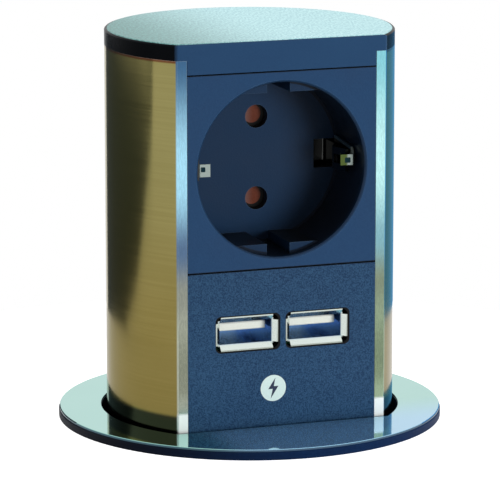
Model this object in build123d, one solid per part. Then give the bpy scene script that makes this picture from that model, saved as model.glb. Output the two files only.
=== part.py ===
from build123d import *
import math
import os

os.makedirs("parts", exist_ok=True)

# A pop up desk socket: a column with a mains socket and two charging ports that rises out of a
# sleeve let into a worktop. Millimetres. The origin is on the column's axis in the plane of the
# worktop's surface, +Z is up and the flat front of the column faces -Y. The column is drawn raised.

# Clearances
play = 0.1
seam = 0.12
running_gap = 0.3
bush_play = 0.06
overrun = 2.0
edge_round = 0.5

# Insert module, and the flat fronted column that carries it
module = 45.0
lip_width = 2.3
front_offset = 22.2
column_wall = 2.2
plate_thickness = 3.0
ledge_reach = 0.6
ledge_thickness = 1.5
port_radius = 3.0
port_bore = 1.45
port_slit = 1.4
port_sink = 0.6
port_angles = (8, 62, 118, 172)

half_opening = module / 2
column_radius = math.hypot(half_opening + lip_width, front_offset)
inner_radius = column_radius - column_wall
port_circle = inner_radius + port_sink - port_radius
front_y = -front_offset
plate_back = front_y + plate_thickness

# Heights above the worktop
column_rise = 90.8
rim_height = 3.7
apron_height = 3.4
lid_thickness = 1.2
lid_inset = 0.55
lid_stand = 0.15

rim_top = column_rise - lid_stand
lid_seat = column_rise - lid_thickness
profile_top = column_rise - rim_height
socket_top = profile_top - apron_height
socket_bottom = socket_top - module
socket_centre = (socket_top + socket_bottom) / 2
usb_bottom = socket_bottom - module
usb_centre = (socket_bottom + usb_bottom) / 2

# Sleeve and ring
ring_gap = 1.3
collar_wall = 1.9
barrel_wall = 2.5
thread_depth = 1.0
thread_start = 10.0
thread_pitch = 4.0
thread_spans = 5
span_turns = 3
thread_root_width = 2.6
thread_crest_width = 1.0
thread_foot = 0.3
thread_skin = 0.05
thread_relief = 2.5
barrel_vent_count = 12
barrel_vent_width = 3.0
barrel_vent_height = 24.0
barrel_vent_rise = 14.0
flange_overlap = 5.5
flange_thickness = 1.9
trim_thickness = 0.5
trim_inset = 0.15
trim_edge = 0.2
flange_edge = 0.3
collar_depth = 22.0
collar_skin = 2.0
wiper_depth = 4.0
wiper_thickness = 1.2
wiper_root = 1.3
bumper_thickness = 1.4
rib_width = 2.0
rib_spacing = 28.0
gasket_width = 2.8
gasket_thickness = 0.8
gasket_margin = 1.1
head_screw_drop = 7.6
head_screw_angles = (90, 205, 335)

hole_radius = column_radius + ring_gap
hole_flat = front_offset + ring_gap
barrel_inner = hole_radius + collar_wall
barrel_outer = barrel_inner + barrel_wall
barrel_root = barrel_outer - thread_depth
thread_rise = thread_depth - thread_skin
span_length = span_turns * thread_pitch
thread_low = -thread_start - thread_relief - thread_spans * span_length
flange_radius = barrel_outer + flange_overlap
ring_height = flange_thickness + trim_thickness
travel = column_rise - ring_height
gasket_outer = flange_radius - gasket_margin
gasket_inner = gasket_outer - gasket_width
head_screw_length = barrel_outer - hole_radius - play

# Foot of the column
base_thickness = 3.0
base_reach = 1.7
shoe_height = 11.3
shoe_angles = ((62, 56), (152, 48), (-20, 48))
post_radius = 2.6
post_height = 4.0
post_spacing = 22.0

shoe_top = -(collar_depth + bumper_thickness + running_gap)
shoe_outer = barrel_inner - running_gap
shoe_inner = column_radius + play

# Cable gland under the foot
gland_offset = 5.0
gland_neck = 6.0
gland_bore = 4.5
gland_hex = 8.6
gland_hex_height = 4.0
gland_nut_height = 3.4
dome_height = 8.0
dome_radius = 8.0
dome_end_radius = 6.0
dome_mouth = 4.2
seal_radius = 6.2
cable_radius = 3.75
end_clearance = 4.0

gland_y = -gland_offset
gland_drop = gland_hex_height + dome_height

# Bottom cap of the sleeve
cap_thickness = 3.0
spigot_height = 3.6
spigot_wall = 2.5
cable_hole = 12.0
bottom_screw_angles = (0, 120, 240)

spigot_outer = barrel_inner - play
spigot_inner = spigot_outer - spigot_wall
bottom_screw_length = barrel_root - spigot_inner - play

# Screws
screw_radius = 1.4
screw_head = 2.7
screw_head_height = 1.5
screw_length = 11.0
screw_recess_share = 0.45
small_screw_radius = 1.0
small_screw_head = 1.9
small_screw_head_height = 1.0

# Gas spring
strut_radius = 6.0
strut_margin = 1.5
strut_wall = 1.0
strut_end = 3.0
boss_wall = 1.1
boss_depth = 8.0
boss_seat = 4.0
rod_radius = 2.5
rod_hole_gap = 0.7
bush_height = 8.0
piston_height = 5.0
piston_gap = 0.3
piston_lift = 2.0
rod_boss_radius = 6.0
rod_boss_height = 8.0
rod_nut_radius = 5.0
rod_nut_height = 4.0

strut_y = inner_radius - strut_radius - strut_margin
boss_radius = strut_radius + play + boss_wall
strut_top = profile_top - boss_seat

# Mains socket insert
side_gap = 0.3
skirt_wall = 1.5
skirt_margin = 0.1
pot_wall = 1.5
recess_depth = 17.5
floor_thickness = 2.0
mouth_chamfer = 0.5
land_height = 2.7
land_setback = 2.7
notch_width = 5.5
pin_spacing = 19.0
pin_hole_radius = 2.7
slot_share = 0.3
slot_margin = 0.3
slot_height = 6.7

body_half = half_opening - ledge_reach - side_gap
recess_radius = body_half - skirt_margin - pot_wall
slot_inset = recess_radius * slot_share
floor_front = front_y + recess_depth
floor_back = floor_front + floor_thickness
socket_back_y = strut_y - boss_radius - running_gap
land_flat = recess_radius - land_height
pin_heights = (socket_centre + pin_spacing / 2, socket_centre - pin_spacing / 2)

# Shutter behind the pin holes
shutter_gap = 0.3
shutter_thickness = 1.5
shutter_cover = 0.5
shutter_margin = 1.0
shutter_rail = 1.4
shutter_bevel = 0.5
spring_wire = 0.15
spring_coil = 0.75
spring_turns = 8
spring_seat_thickness = 1.6
spring_seat_width = 3.0
spring_seat_margin = 0.2

shutter_half = pin_hole_radius + shutter_cover
shutter_travel = pin_hole_radius + shutter_half + play
shutter_front = floor_back + shutter_gap
shutter_back = shutter_front + shutter_thickness
shutter_tall = pin_spacing / 2 + pin_hole_radius + shutter_margin
spring_start = shutter_half + play
spring_seat_x = recess_radius - slot_inset - spring_seat_margin - spring_seat_thickness
spring_y = floor_back + spring_coil + spring_wire + play

# Contacts of the mains socket
metal_thickness = 0.8
clip_width = 4.5
clip_half_gap = 2.2
contact_room = 2.5
terminal_size = 7.0
terminal_gap = 3.1
terminal_bore = 1.6
wire_hole = 2.2
clip_wall_gap = 1.2
clip_bulge = 3.4
clip_tip = 2.0
clip_bulge_depth = 11.5
clip_tip_depth = 6.5
clip_bend = 1.0
bow_width = 5.0
bow_gap = 0.3
window_width = 2.0

bow_y = shutter_back + bow_gap + 2 * spring_wire + metal_thickness
contact_front = bow_y - metal_thickness / 2
contact_back = socket_back_y - skirt_wall - small_screw_head_height - contact_room
clip_length = contact_back - contact_front
terminal_reach = body_half - skirt_wall - terminal_gap - terminal_size
bow_x = recess_radius - clip_wall_gap

# Charging insert
port_spacing = 16.8
port_rise = 8.05
port_width = 12.5
port_height = 5.12
shell_wall = 0.3
flare_width = 0.9
flare_height = 1.09
flare_depth = 1.1
shell_depth = 14.0
shell_sink = 0.1
opening_round = 1.7
tongue_width = 11.1
tongue_thickness = 1.84
tongue_drop = 0.7
tongue_length = 9.0
contact_width = 1.0
contact_thickness = 0.15
contact_pitch = 2.2
contact_count = 4
board_thickness = 1.6
board_length = 26.0
cover_room = 5.0
cover_wall = 1.5
vent_count = 5
vent_width = 2.0
vent_share = 0.6
vent_pitch_share = 0.15
vent_round_share = 0.45
transformer_gap = 4.0
part_gap = 1.4
transformer_height = 11.0
core_share = 0.55
capacitor_radius = 3.6
capacitor_height = 10.0
capacitor_room = 3.4
capacitor_groove = 0.4

port_z = usb_centre + port_rise
board_top = port_z - port_height / 2 - shell_wall
board_low = board_top - board_thickness
board_front = plate_back + play
board_back = board_front + board_length - play
cover_back = plate_back + board_length + cover_room
capacitor_x = body_half - cover_wall - play - capacitor_room - capacitor_radius
transformer_half = capacitor_x - capacitor_radius - part_gap
transformer_front = front_y + shell_depth + transformer_gap

# Terminal block in the foot
block_width = 30.0
block_depth = 11.0
block_height = 15.0
block_gap = 3.0
block_clearance = 3.0
block_chamfer = 1.2
pole_count = 3
pole_spacing = 9.0
pole_bore = 1.8
pole_screw_radius = 1.9
pole_screw_sink = 1.0

block_back = strut_y - strut_radius - block_gap
block_front = block_back - block_depth

# Levels below the worktop: the foot clears the guide shoes and the terminal block
block_stack = post_height + block_height + block_clearance
profile_bottom = min(shoe_top - shoe_height, usb_centre - body_half - block_stack)
foot_bottom = profile_bottom - base_thickness
block_low = profile_bottom + post_height
barrel_bottom = foot_bottom - travel - gland_drop - end_clearance
cap_bottom = barrel_bottom - cap_thickness
rod_seat = barrel_bottom + rod_boss_height

# Hold down latch in the foot of the sleeve
ear_margin = 0.9
pawl_arm = 9.6
pawl_width = 4.0
pawl_front = 1.6
pawl_back = 0.8
hook_height = 11.7
hook_reach = 3.7
hook_gap = 0.8
hook_tip = 1.0
hook_thickness = 2.7
hub_radius = 2.3
tail_reach = 5.0
tail_thickness = 1.6
pivot_radius = 1.2
ear_thickness = 1.5
ear_radius = 2.5
ear_gap = 0.2
bracket_foot = 2.2
latch_wire = 0.2
latch_coil = 1.75
latch_pitch = 0.95
latch_turns = 2
striker_width = 10.0
striker_thickness = 2.0
striker_gap = 1.4
striker_hole_spacing = 5.0

pivot_y = -(spigot_inner - ear_margin - ear_radius)
pivot_z = foot_bottom - travel - pawl_arm
bracket_room = pawl_width + latch_pitch * latch_turns + 3 * latch_wire + 2 * ear_gap
bracket_half = bracket_room / 2 + ear_thickness
striker_near = pivot_y + hook_reach + hook_gap
striker_far = gland_y - gland_hex - striker_gap

# Clamp ring under the worktop
worktop = 25.0
clamp_gap = 0.3
washer_thickness = 1.5
washer_width = 7.5
nut_height = 12.0
nut_wall = 5.5
grip_count = 12
grip_radius = 4.5
grip_bite = 1.6
nut_chamfer = 1.0

clamp_bore = barrel_outer + clamp_gap
washer_low = -worktop - washer_thickness
nut_low = washer_low - nut_height


def d_face(radius, flat):
    """A round face cut off straight at the front, with the cut this far from the axis."""
    return Circle(radius) - Pos(0, -flat - radius) * Rectangle(2 * radius, 2 * radius)


def ring_face(inner, outer):
    """A flat ring."""
    return Circle(outer) - Circle(inner)


def sector(inner, outer, start, span):
    """Part of a flat ring, from one angle over a span of degrees."""
    rim = CenterArc((0, 0), outer, start, span)
    bore = CenterArc((0, 0), inner, start, span)
    return make_face([rim, Line(rim @ 1, bore @ 1), bore, Line(bore @ 0, rim @ 0)])


def upright(face, low, high):
    """A face drawn in X and Y, raised from one height to another."""
    return extrude(Pos(0, 0, low) * face, amount=high - low)


def from_front(face, near, far):
    """A face drawn in X and Z, carried from the plane y = near back to y = far."""
    plane = Plane(origin=(0, near, 0), x_dir=(1, 0, 0), z_dir=(0, -1, 0))
    return extrude(plane * face, amount=near - far)


def across(face, low, high):
    """A face drawn in Y and Z, carried along X."""
    plane = Plane(origin=(low, 0, 0), x_dir=(0, 1, 0), z_dir=(1, 0, 0))
    return extrude(plane * face, amount=high - low)


def block(low_x, high_x, low_y, high_y, low_z, high_z):
    """A box between six planes."""
    corner = (Align.MIN, Align.MIN, Align.MIN)
    return Pos(low_x, low_y, low_z) * Box(high_x - low_x, high_y - low_y, high_z - low_z, align=corner)


def rod(x, y, radius, low, high):
    """An upright cylinder."""
    return upright(Pos(x, y) * Circle(radius), low, high)


def port_places():
    """Centres of the column's four screw ports."""
    return [
        (port_circle * math.cos(math.radians(angle)), port_circle * math.sin(math.radians(angle)))
        for angle in port_angles
    ]


def countersunk(radius, head, head_height, length):
    """A countersunk screw that points down, with the top of its head at the origin."""
    cone = Pos(0, 0, -head_height / 2) * Cone(radius, head, head_height)
    shank = rod(0, 0, radius, -length, -head_height)
    recess = upright(RegularPolygon(head * screw_recess_share, 6), -head_height / 2, overrun)
    return cone + shank - recess


def countersink(radius, head, head_height, length):
    """The hole for such a screw."""
    cone = Pos(0, 0, -head_height / 2) * Cone(radius + play, head + play, head_height)
    return cone + rod(0, 0, radius + play, -length - overrun, -head_height / 2) + rod(
        0, 0, head + play, 0, overrun
    )


def main_screw():
    """The screw that holds the cap and the base to the column."""
    return countersunk(screw_radius, screw_head, screw_head_height, screw_length)


def main_screw_hole():
    """Its hole."""
    return countersink(screw_radius, screw_head, screw_head_height, screw_length)


def small_screw(length):
    """A small countersunk screw."""
    return countersunk(small_screw_radius, small_screw_head, small_screw_head_height, length)


def small_screw_hole(length):
    """Its hole."""
    return countersink(small_screw_radius, small_screw_head, small_screw_head_height, length)


def radial_places(radius, z, angles):
    """Places on an upright cylinder, each with its +Z pointing away from the axis."""
    return [Rot(0, 0, angle) * Pos(radius, 0, z) * Rot(0, 90, 0) for angle in angles]


def coil(pitch, turns, radius, wire):
    """A coil spring that stands on the origin along +Z."""
    path = Helix(pitch=pitch, height=pitch * turns, radius=radius)
    start = Plane(origin=path @ 0, z_dir=path % 0)
    return sweep(start * Circle(wire), path=path, is_frenet=True)


# Column profile: one extrusion with front lips, ledges behind them and four screw ports
def column_section():
    outer = d_face(column_radius, front_offset)
    lip_depth = plate_thickness + play + ledge_thickness
    band = Pos(0, front_y + lip_depth / 2) * Rectangle(2 * column_radius, lip_depth)
    opening_depth = plate_thickness + play + overrun
    opening = Pos(0, front_y - overrun + opening_depth / 2) * Rectangle(
        2 * (half_opening + play), opening_depth
    )
    throat = Pos(0, front_y) * Rectangle(2 * (half_opening - ledge_reach), 2 * (lip_depth + overrun))
    section = (outer - Circle(inner_radius)) + (outer & band) - opening - throat
    for x, y in port_places():
        section += Pos(x, y) * Circle(port_radius)
    for x, y in port_places():
        slit = Rot(0, 0, math.degrees(math.atan2(y, x))) * Pos(-port_radius, 0)
        section -= Pos(x, y) * Circle(port_bore)
        section -= Pos(x, y) * slit * Rectangle(2 * port_radius, port_slit)
    return section


def column_profile():
    return upright(column_section(), profile_bottom, profile_top)


# Top of the column: a dark cap with an apron between the lips, and a metal lid let into it
def top_cap():
    rim = upright(d_face(column_radius, front_offset), profile_top, rim_top)
    rim = fillet(rim.edges().filter_by(Axis.Z), edge_round)
    rim = chamfer(rim.edges().group_by(Axis.Z)[-1], lid_inset / 2)
    seat = d_face(column_radius - lid_inset, front_offset - lid_inset)
    rim -= upright(seat, lid_seat, rim_top + overrun)
    plug_radius = port_circle - port_radius - play
    plug_flat = -plate_back - play
    plug = d_face(plug_radius, plug_flat) - d_face(plug_radius - column_wall, plug_flat - column_wall)
    cap = rim + upright(plug, socket_top + seam, profile_top)
    cap += block(
        -half_opening, half_opening, front_y, plate_back, socket_top + seam, profile_top
    )
    cap += rod(0, strut_y, boss_radius, profile_top - boss_depth, profile_top)
    cap -= rod(0, strut_y, strut_radius + play, profile_top - boss_depth - overrun, strut_top)
    for x, y in port_places():
        cap -= Pos(x, y, lid_seat) * main_screw_hole()
    return cap


def lid_plate():
    inset = lid_inset + play / 2
    plate = upright(d_face(column_radius - inset, front_offset - inset), lid_seat, column_rise)
    plate = fillet(plate.edges().filter_by(Axis.Z), edge_round)
    return chamfer(plate.edges().group_by(Axis.Z)[-1], lid_stand)


def cap_screws():
    return [Pos(x, y, lid_seat) * main_screw() for x, y in port_places()]


# Mains socket: face plate, round recess with two notched lands, floor with pin holes and slots
def socket_insert():
    here = Pos(0, socket_centre)
    insert = from_front(here * Rectangle(module, module - 2 * seam), front_y, plate_back)
    skirt = Rectangle(2 * body_half, 2 * body_half)
    skirt -= Rectangle(2 * (body_half - skirt_wall), 2 * (body_half - skirt_wall))
    insert += from_front(here * skirt, plate_back, floor_back)
    insert += from_front(here * Circle(recess_radius + pot_wall), plate_back, floor_back)
    insert -= from_front(here * Circle(recess_radius), front_y - overrun, floor_front)
    lands = Circle(recess_radius + pot_wall / 2) - Rectangle(3 * recess_radius, 2 * land_flat)
    lands -= Rectangle(notch_width, 3 * recess_radius)
    insert += from_front(here * lands, front_y + land_setback, floor_front + floor_thickness / 2)
    for z in pin_heights:
        insert -= from_front(Pos(0, z) * Circle(pin_hole_radius), floor_front - overrun, floor_back + overrun)
    slot_low = recess_radius - slot_inset
    slot_width = slot_inset - slot_margin
    for side in (-1, 1):
        slot = Pos(side * (slot_low + slot_width / 2), socket_centre) * Rectangle(slot_width, slot_height)
        insert -= from_front(slot, floor_front - overrun, floor_back + overrun)
    rail_z = shutter_tall + shutter_gap
    rail_reach = shutter_half + shutter_travel
    for side in (-1, 1):
        rail = Pos(rail_reach / 2, socket_centre + side * (rail_z + shutter_rail / 2))
        rail_end = floor_back + shutter_gap + shutter_thickness
        insert += from_front(rail * Rectangle(rail_reach + shutter_half, shutter_rail), floor_back, rail_end)
    seat = Pos(spring_seat_x + spring_seat_thickness / 2, socket_centre)
    seat_face = seat * Rectangle(spring_seat_thickness, spring_seat_width)
    insert += from_front(seat_face, floor_back, shutter_back)
    rim = insert.edges().filter_by(GeomType.CIRCLE).group_by(Axis.Y)[0]
    return chamfer(rim, mouth_chamfer)


def socket_back():
    here = Pos(0, socket_centre)
    outer = from_front(here * Rectangle(2 * body_half, 2 * body_half), floor_back, socket_back_y)
    outer = chamfer(outer.edges().group_by(Axis.Y)[-1], skirt_wall / 2)
    inner = body_half - skirt_wall
    shell = outer - from_front(
        here * Rectangle(2 * inner, 2 * inner), floor_back - overrun, socket_back_y - skirt_wall
    )
    low = socket_centre - body_half
    middle_y = (floor_back + socket_back_y) / 2
    for side in (-1, 0, 1):
        x = side * (terminal_reach + terminal_size / 2)
        shell -= rod(x, middle_y, wire_hole, low - overrun, low + skirt_wall + overrun)
    return shell


# Behind the floor: shutter, its spring, two pin contacts, and the earth bow with its two clips
def shutter():
    face = Pos(0, socket_centre) * Rectangle(2 * shutter_half, 2 * shutter_tall)
    plate = from_front(face, shutter_front, shutter_back)
    return chamfer(plate.edges().group_by(Axis.Y)[0].filter_by(Axis.Z), shutter_bevel)


def shutter_spring():
    length = spring_seat_x - spring_start - spring_wire - 2 * play
    wound = coil(length / spring_turns, spring_turns, spring_coil, spring_wire)
    return Pos(spring_start + spring_wire, spring_y, socket_centre) * Rot(0, 90, 0) * wound


def pin_contact(side):
    """A U shaped clip for one pin, with a tail to its terminal. Side 1 is the upper one."""
    z = socket_centre + side * pin_spacing / 2
    half = clip_half_gap + metal_thickness
    middle = (contact_front + contact_back) / 2
    clip = Pos(0, middle) * Rectangle(2 * half, clip_length)
    clip -= Pos(0, middle - metal_thickness) * Rectangle(2 * clip_half_gap, clip_length)
    low = z - clip_width / 2
    high = z + clip_width / 2
    piece = upright(clip, low, high)
    inner_edges = piece.edges().filter_by(Axis.Z).group_by(Axis.Y)[0].sort_by(Axis.X)[1:3]
    piece = chamfer(inner_edges, metal_thickness / 2)
    near, far = sorted((side * clip_half_gap, side * (terminal_reach + metal_thickness)))
    piece += block(near, far, contact_back - metal_thickness, contact_back, low, high)
    near, far = sorted((side * terminal_reach, side * (terminal_reach + terminal_size)))
    half_size = terminal_size / 2
    cube = block(near, far, contact_back - terminal_size, contact_back, z - half_size, z + half_size)
    centre = Pos((near + far) / 2, contact_back - half_size, z)
    cube -= centre * Cylinder(terminal_bore, 2 * terminal_size)
    cube -= centre * Rot(90, 0, 0) * Cylinder(small_screw_radius + play, 2 * terminal_size)
    return piece + cube


def contact_screws():
    """The two terminal screws, driven from the back."""
    screws = []
    for side in (-1, 1):
        x = side * (terminal_reach + terminal_size / 2)
        place = Pos(x, contact_back + small_screw_head_height, socket_centre + side * pin_spacing / 2)
        turned = Rot(-90, 0, 0) * small_screw(terminal_size / 2)
        screws.append(place * turned)
    return screws


def earth_bow():
    wall_y = floor_front - overrun
    route = [
        (recess_radius - clip_tip, front_y + clip_tip_depth),
        (recess_radius - clip_bulge, front_y + clip_bulge_depth),
        (bow_x, wall_y),
        (bow_x, bow_y),
    ]
    mirrored = [(-x, y) for x, y in reversed(route)]
    line = FilletPolyline(*(route + mirrored), radius=clip_bend)
    strip = trace(line, line_width=metal_thickness)
    bow = upright(strip, socket_centre - bow_width / 2, socket_centre + bow_width / 2)
    window = Pos(0, socket_centre) * Rectangle(4 * recess_radius, window_width)
    tip_y = front_y + clip_tip_depth + metal_thickness
    bow -= from_front(window, tip_y, front_y + clip_bulge_depth - metal_thickness)
    half = terminal_size / 2
    tag = block(-half, half, bow_y, bow_y + terminal_size, socket_centre - half, socket_centre + half)
    centre = Pos(0, bow_y + half + metal_thickness, socket_centre)
    return bow + (tag - centre * Cylinder(terminal_bore, 2 * terminal_size))


# Charging insert: face plate with two flared metal ports, tongues, board, parts on it and cover
def usb_fascia():
    plate = from_front(
        Pos(0, usb_centre) * Rectangle(module, module - 2 * seam), front_y, plate_back
    )
    width = port_width + 2 * (shell_wall + flare_width + play)
    height = port_height + 2 * (shell_wall + flare_height + play)
    for side in (-1, 1):
        opening = Pos(side * port_spacing / 2, port_z) * RectangleRounded(width, height, opening_round)
        plate -= from_front(opening, front_y - overrun, plate_back + overrun)
    return plate


def usb_shell(side):
    x = side * port_spacing / 2
    front = front_y + shell_sink
    throat = front + flare_depth
    back = front_y + shell_depth

    def window(y, grow_x, grow_z):
        plane = Plane(origin=(x, y, port_z), x_dir=(1, 0, 0), z_dir=(0, -1, 0))
        return plane * Rectangle(port_width + 2 * grow_x, port_height + 2 * grow_z)

    def flare(metal):
        wide = window(front, flare_width + metal, flare_height + metal)
        return loft([wide, window(throat, metal, metal)])

    shell = flare(shell_wall) - flare(0)
    reach = flare_width + shell_wall + play
    for side_x in (-1, 1):
        for side_z in (-1, 1):
            corner = Pos(
                x + side_x * (port_width / 2 + reach / 2),
                (front + throat) / 2 - play / 2,
                port_z + side_z * (port_height / 2 + (reach + flare_height) / 2),
            )
            shell -= corner * Box(reach, flare_depth - play, reach + flare_height)
    tube = extrude(window(throat, shell_wall, shell_wall), amount=throat - back)
    tube -= extrude(window(throat, 0, 0), amount=throat - back + shell_wall)
    return shell + tube


def usb_tongue(side):
    x = side * port_spacing / 2
    top = port_z + port_height / 2 - tongue_drop
    back = front_y + shell_depth - shell_wall
    piece = block(
        x - tongue_width / 2,
        x + tongue_width / 2,
        back - tongue_length - flare_depth,
        back,
        top - tongue_thickness,
        top,
    )
    return chamfer(piece.edges().group_by(Axis.Y)[0].filter_by(Axis.X), tongue_thickness / 8)


def usb_contacts():
    low = port_z + port_height / 2 - tongue_drop - tongue_thickness - contact_thickness
    back = front_y + shell_depth - shell_wall
    first = -contact_pitch * (contact_count - 1) / 2
    return [
        block(
            side * port_spacing / 2 + first + index * contact_pitch - contact_width / 2,
            side * port_spacing / 2 + first + index * contact_pitch + contact_width / 2,
            back - tongue_length,
            back,
            low,
            low + contact_thickness,
        )
        for side in (-1, 1)
        for index in range(contact_count)
    ]


def usb_board():
    half = body_half - cover_wall - play
    return block(-half, half, board_front, board_front + board_length, board_low, board_top)


def transformer():
    """A wound core on its bobbin, upright on the board behind the ports."""
    far = board_back
    near = transformer_front
    half = transformer_half
    core = block(-half, half, near, far, board_top, board_top + transformer_height)
    window = (far - near) * (1 - core_share) / 2
    for edge, sign in ((near, 1), (far, -1)):
        low, high = sorted((edge - sign * overrun, edge + sign * window))
        rise = transformer_height * core_share / 2
        middle = board_top + transformer_height / 2
        core -= block(-half * core_share, half * core_share, low, high, middle - rise, middle + rise)
    return core


def capacitors():
    cans = []
    for side in (-1, 1):
        can = rod(
            side * capacitor_x,
            board_back - capacitor_radius - play,
            capacitor_radius,
            board_top,
            board_top + capacitor_height,
        )
        cans.append(fillet(can.edges().group_by(Axis.Z)[-1], capacitor_groove))
    return cans


def usb_cover():
    here = Pos(0, usb_centre)
    outer = from_front(here * Rectangle(2 * body_half, 2 * body_half), plate_back, cover_back)
    outer = chamfer(outer.edges().group_by(Axis.Y)[-1], cover_wall / 2)
    inner = 2 * (body_half - cover_wall)
    cover = outer - from_front(
        here * Rectangle(inner, inner), plate_back - overrun, cover_back - cover_wall
    )
    slot = RectangleRounded(vent_width, inner * vent_share, vent_width * vent_round_share)
    for index in range(vent_count):
        x = (index - (vent_count - 1) / 2) * inner * vent_pitch_share
        vent = Pos(x, usb_centre) * slot
        cover -= from_front(vent, cover_back - 2 * cover_wall, cover_back + overrun)
    return cover


# Blank plate that closes the front of the column's foot
def foot_plate():
    low = profile_bottom + play
    high = usb_bottom - seam
    plate = block(-half_opening, half_opening, front_y, plate_back, low, high)
    rib_x = half_opening / 2
    for side in (-1, 1):
        plate += block(
            side * rib_x - ledge_thickness / 2,
            side * rib_x + ledge_thickness / 2,
            plate_back,
            plate_back + ledge_thickness,
            low + ledge_thickness,
            high - ledge_thickness,
        )
    return plate


# Base of the column: plate, screws, guide shoes, gland, terminal block and striker
def base_plate():
    plate = upright(d_face(column_radius + base_reach, front_offset), foot_bottom, profile_bottom)
    plug_radius = port_circle - port_radius - play
    plug_flat = -plate_back - ledge_thickness - 2 * play
    plug = d_face(plug_radius, plug_flat) - d_face(plug_radius - column_wall, plug_flat - column_wall)
    strut_room = Pos(0, strut_y) * Circle(strut_radius + running_gap)
    plate += upright(plug - strut_room, profile_bottom, profile_bottom + post_height)
    block_y = (block_front + block_back) / 2
    for side in (-1, 1):
        x = side * post_spacing / 2
        plate += rod(x, block_y, post_radius, profile_bottom, block_low)
    for x, y in port_places():
        plate -= Pos(x, y, foot_bottom) * Rot(180, 0, 0) * main_screw_hole()
    plate -= rod(0, gland_y, gland_neck + play, foot_bottom - overrun, profile_bottom + overrun)
    plate -= rod(0, strut_y, rod_radius + rod_hole_gap, foot_bottom - overrun, profile_bottom + overrun)
    for place in striker_places():
        plate -= place * Rot(180, 0, 0) * small_screw_hole(striker_thickness + base_thickness)
    return plate


def base_screws():
    return [Pos(x, y, foot_bottom) * Rot(180, 0, 0) * main_screw() for x, y in port_places()]


def guide_shoes():
    """Three pads that run on the bore of the sleeve and stop under its collar."""
    return [
        chamfer(
            upright(sector(shoe_inner, shoe_outer, start, span), profile_bottom, shoe_top)
            .edges()
            .group_by(Axis.Z)[-1]
            .filter_by(GeomType.CIRCLE)
            .sort_by(SortBy.RADIUS)[-1:],
            edge_round,
        )
        for start, span in shoe_angles
    ]


def cable_gland():
    neck_top = profile_bottom + gland_nut_height
    body = rod(0, gland_y, gland_neck, foot_bottom - gland_hex_height, neck_top)
    hexagon = Pos(0, gland_y) * RegularPolygon(gland_hex, 6)
    body += upright(hexagon, foot_bottom - gland_hex_height, foot_bottom)
    return body - rod(0, gland_y, gland_bore, foot_bottom - gland_drop - overrun, neck_top + overrun)


def gland_nut():
    hexagon = Pos(0, gland_y) * (RegularPolygon(gland_hex, 6) - Circle(gland_neck + play))
    return upright(hexagon, profile_bottom, profile_bottom + gland_nut_height)


def gland_dome():
    top = foot_bottom - gland_hex_height
    bottom = top - dome_height
    shoulder = (top + bottom) / 2
    profile = make_face(
        Polyline(
            (seal_radius + play, top),
            (dome_radius, top),
            (dome_radius, shoulder),
            (dome_end_radius, bottom),
            (dome_mouth, bottom),
            (dome_mouth, bottom + base_thickness / 2),
            (seal_radius + play, shoulder),
            close=True,
        )
    )
    return Pos(0, gland_y) * revolve(Plane.XZ * profile, axis=Axis.Z)


def gland_seal():
    top = foot_bottom - gland_hex_height
    bottom = top - dome_height
    shoulder = (top + bottom) / 2
    profile = make_face(
        Polyline(
            (cable_radius, top),
            (seal_radius, top),
            (seal_radius, shoulder + 2 * play),
            (dome_mouth, bottom + base_thickness / 2 + play),
            (cable_radius, bottom + base_thickness / 2 + play),
            close=True,
        )
    )
    return Pos(0, gland_y) * revolve(Plane.XZ * profile, axis=Axis.Z)


def pole_places():
    return [(index - (pole_count - 1) / 2) * pole_spacing for index in range(pole_count)]


def terminal_block():
    high = block_low + block_height
    body = block(-block_width / 2, block_width / 2, block_front, block_back, block_low, high)
    body = chamfer(body.edges().group_by(Axis.Z)[-1].filter_by(Axis.X), block_chamfer)
    middle_y = (block_front + block_back) / 2
    middle_z = (block_low + high) / 2
    for x in pole_places():
        body -= rod(x, middle_y, pole_bore, block_low - overrun, high + overrun)
        hole = Pos(x, middle_z) * Circle(pole_screw_radius)
        body -= from_front(hole, block_front - overrun, middle_y)
    gap = (pole_spacing - 2 * pole_bore) / 4
    for index in range(pole_count - 1):
        x = (pole_places()[index] + pole_places()[index + 1]) / 2
        groove = Pos(x, middle_z) * Rectangle(gap, 2 * block_height)
        body -= from_front(groove, block_front - overrun, block_front + gap)
    return body


def terminal_screws():
    middle_y = (block_front + block_back) / 2
    middle_z = block_low + block_height / 2
    near = block_front + pole_screw_sink
    far = middle_y - pole_bore
    screws = []
    for x in pole_places():
        screw = from_front(Pos(x, middle_z) * Circle(pole_screw_radius - play), near, far)
        slot = Pos(x, middle_z) * Rectangle(2 * pole_screw_radius, pole_screw_radius / 3)
        screws.append(screw - from_front(slot, near - overrun, near + pole_screw_radius / 3))
    return screws


def striker_places():
    y = (front_y + striker_far) / 2
    low = foot_bottom - striker_thickness
    return [Pos(side * striker_hole_spacing / 2, y, low) for side in (-1, 1)]


def latch_striker():
    half = striker_width / 2
    low = foot_bottom - striker_thickness
    plate = block(-half, half, striker_near, striker_far, low, foot_bottom)
    plate = fillet(plate.edges().filter_by(Axis.Z), edge_round)
    for place in striker_places():
        plate -= place * Rot(180, 0, 0) * small_screw_hole(striker_thickness)
    return plate


def striker_screws():
    length = striker_thickness + base_thickness - play
    return [place * Rot(180, 0, 0) * small_screw(length) for place in striker_places()]


# Gas spring: tube and bush ride with the column, rod and piston stay on the sleeve's bottom cap
def gas_tube():
    tube = rod(0, strut_y, strut_radius, profile_bottom, strut_top)
    tube -= rod(0, strut_y, strut_radius - strut_wall, profile_bottom - overrun, strut_top - strut_end)
    return chamfer(tube.edges().group_by(Axis.Z)[-1], strut_wall / 2)


def gas_bush():
    ring = Pos(0, strut_y) * ring_face(rod_radius + bush_play, strut_radius - strut_wall - bush_play)
    return upright(ring, profile_bottom, profile_bottom + bush_height)


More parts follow.
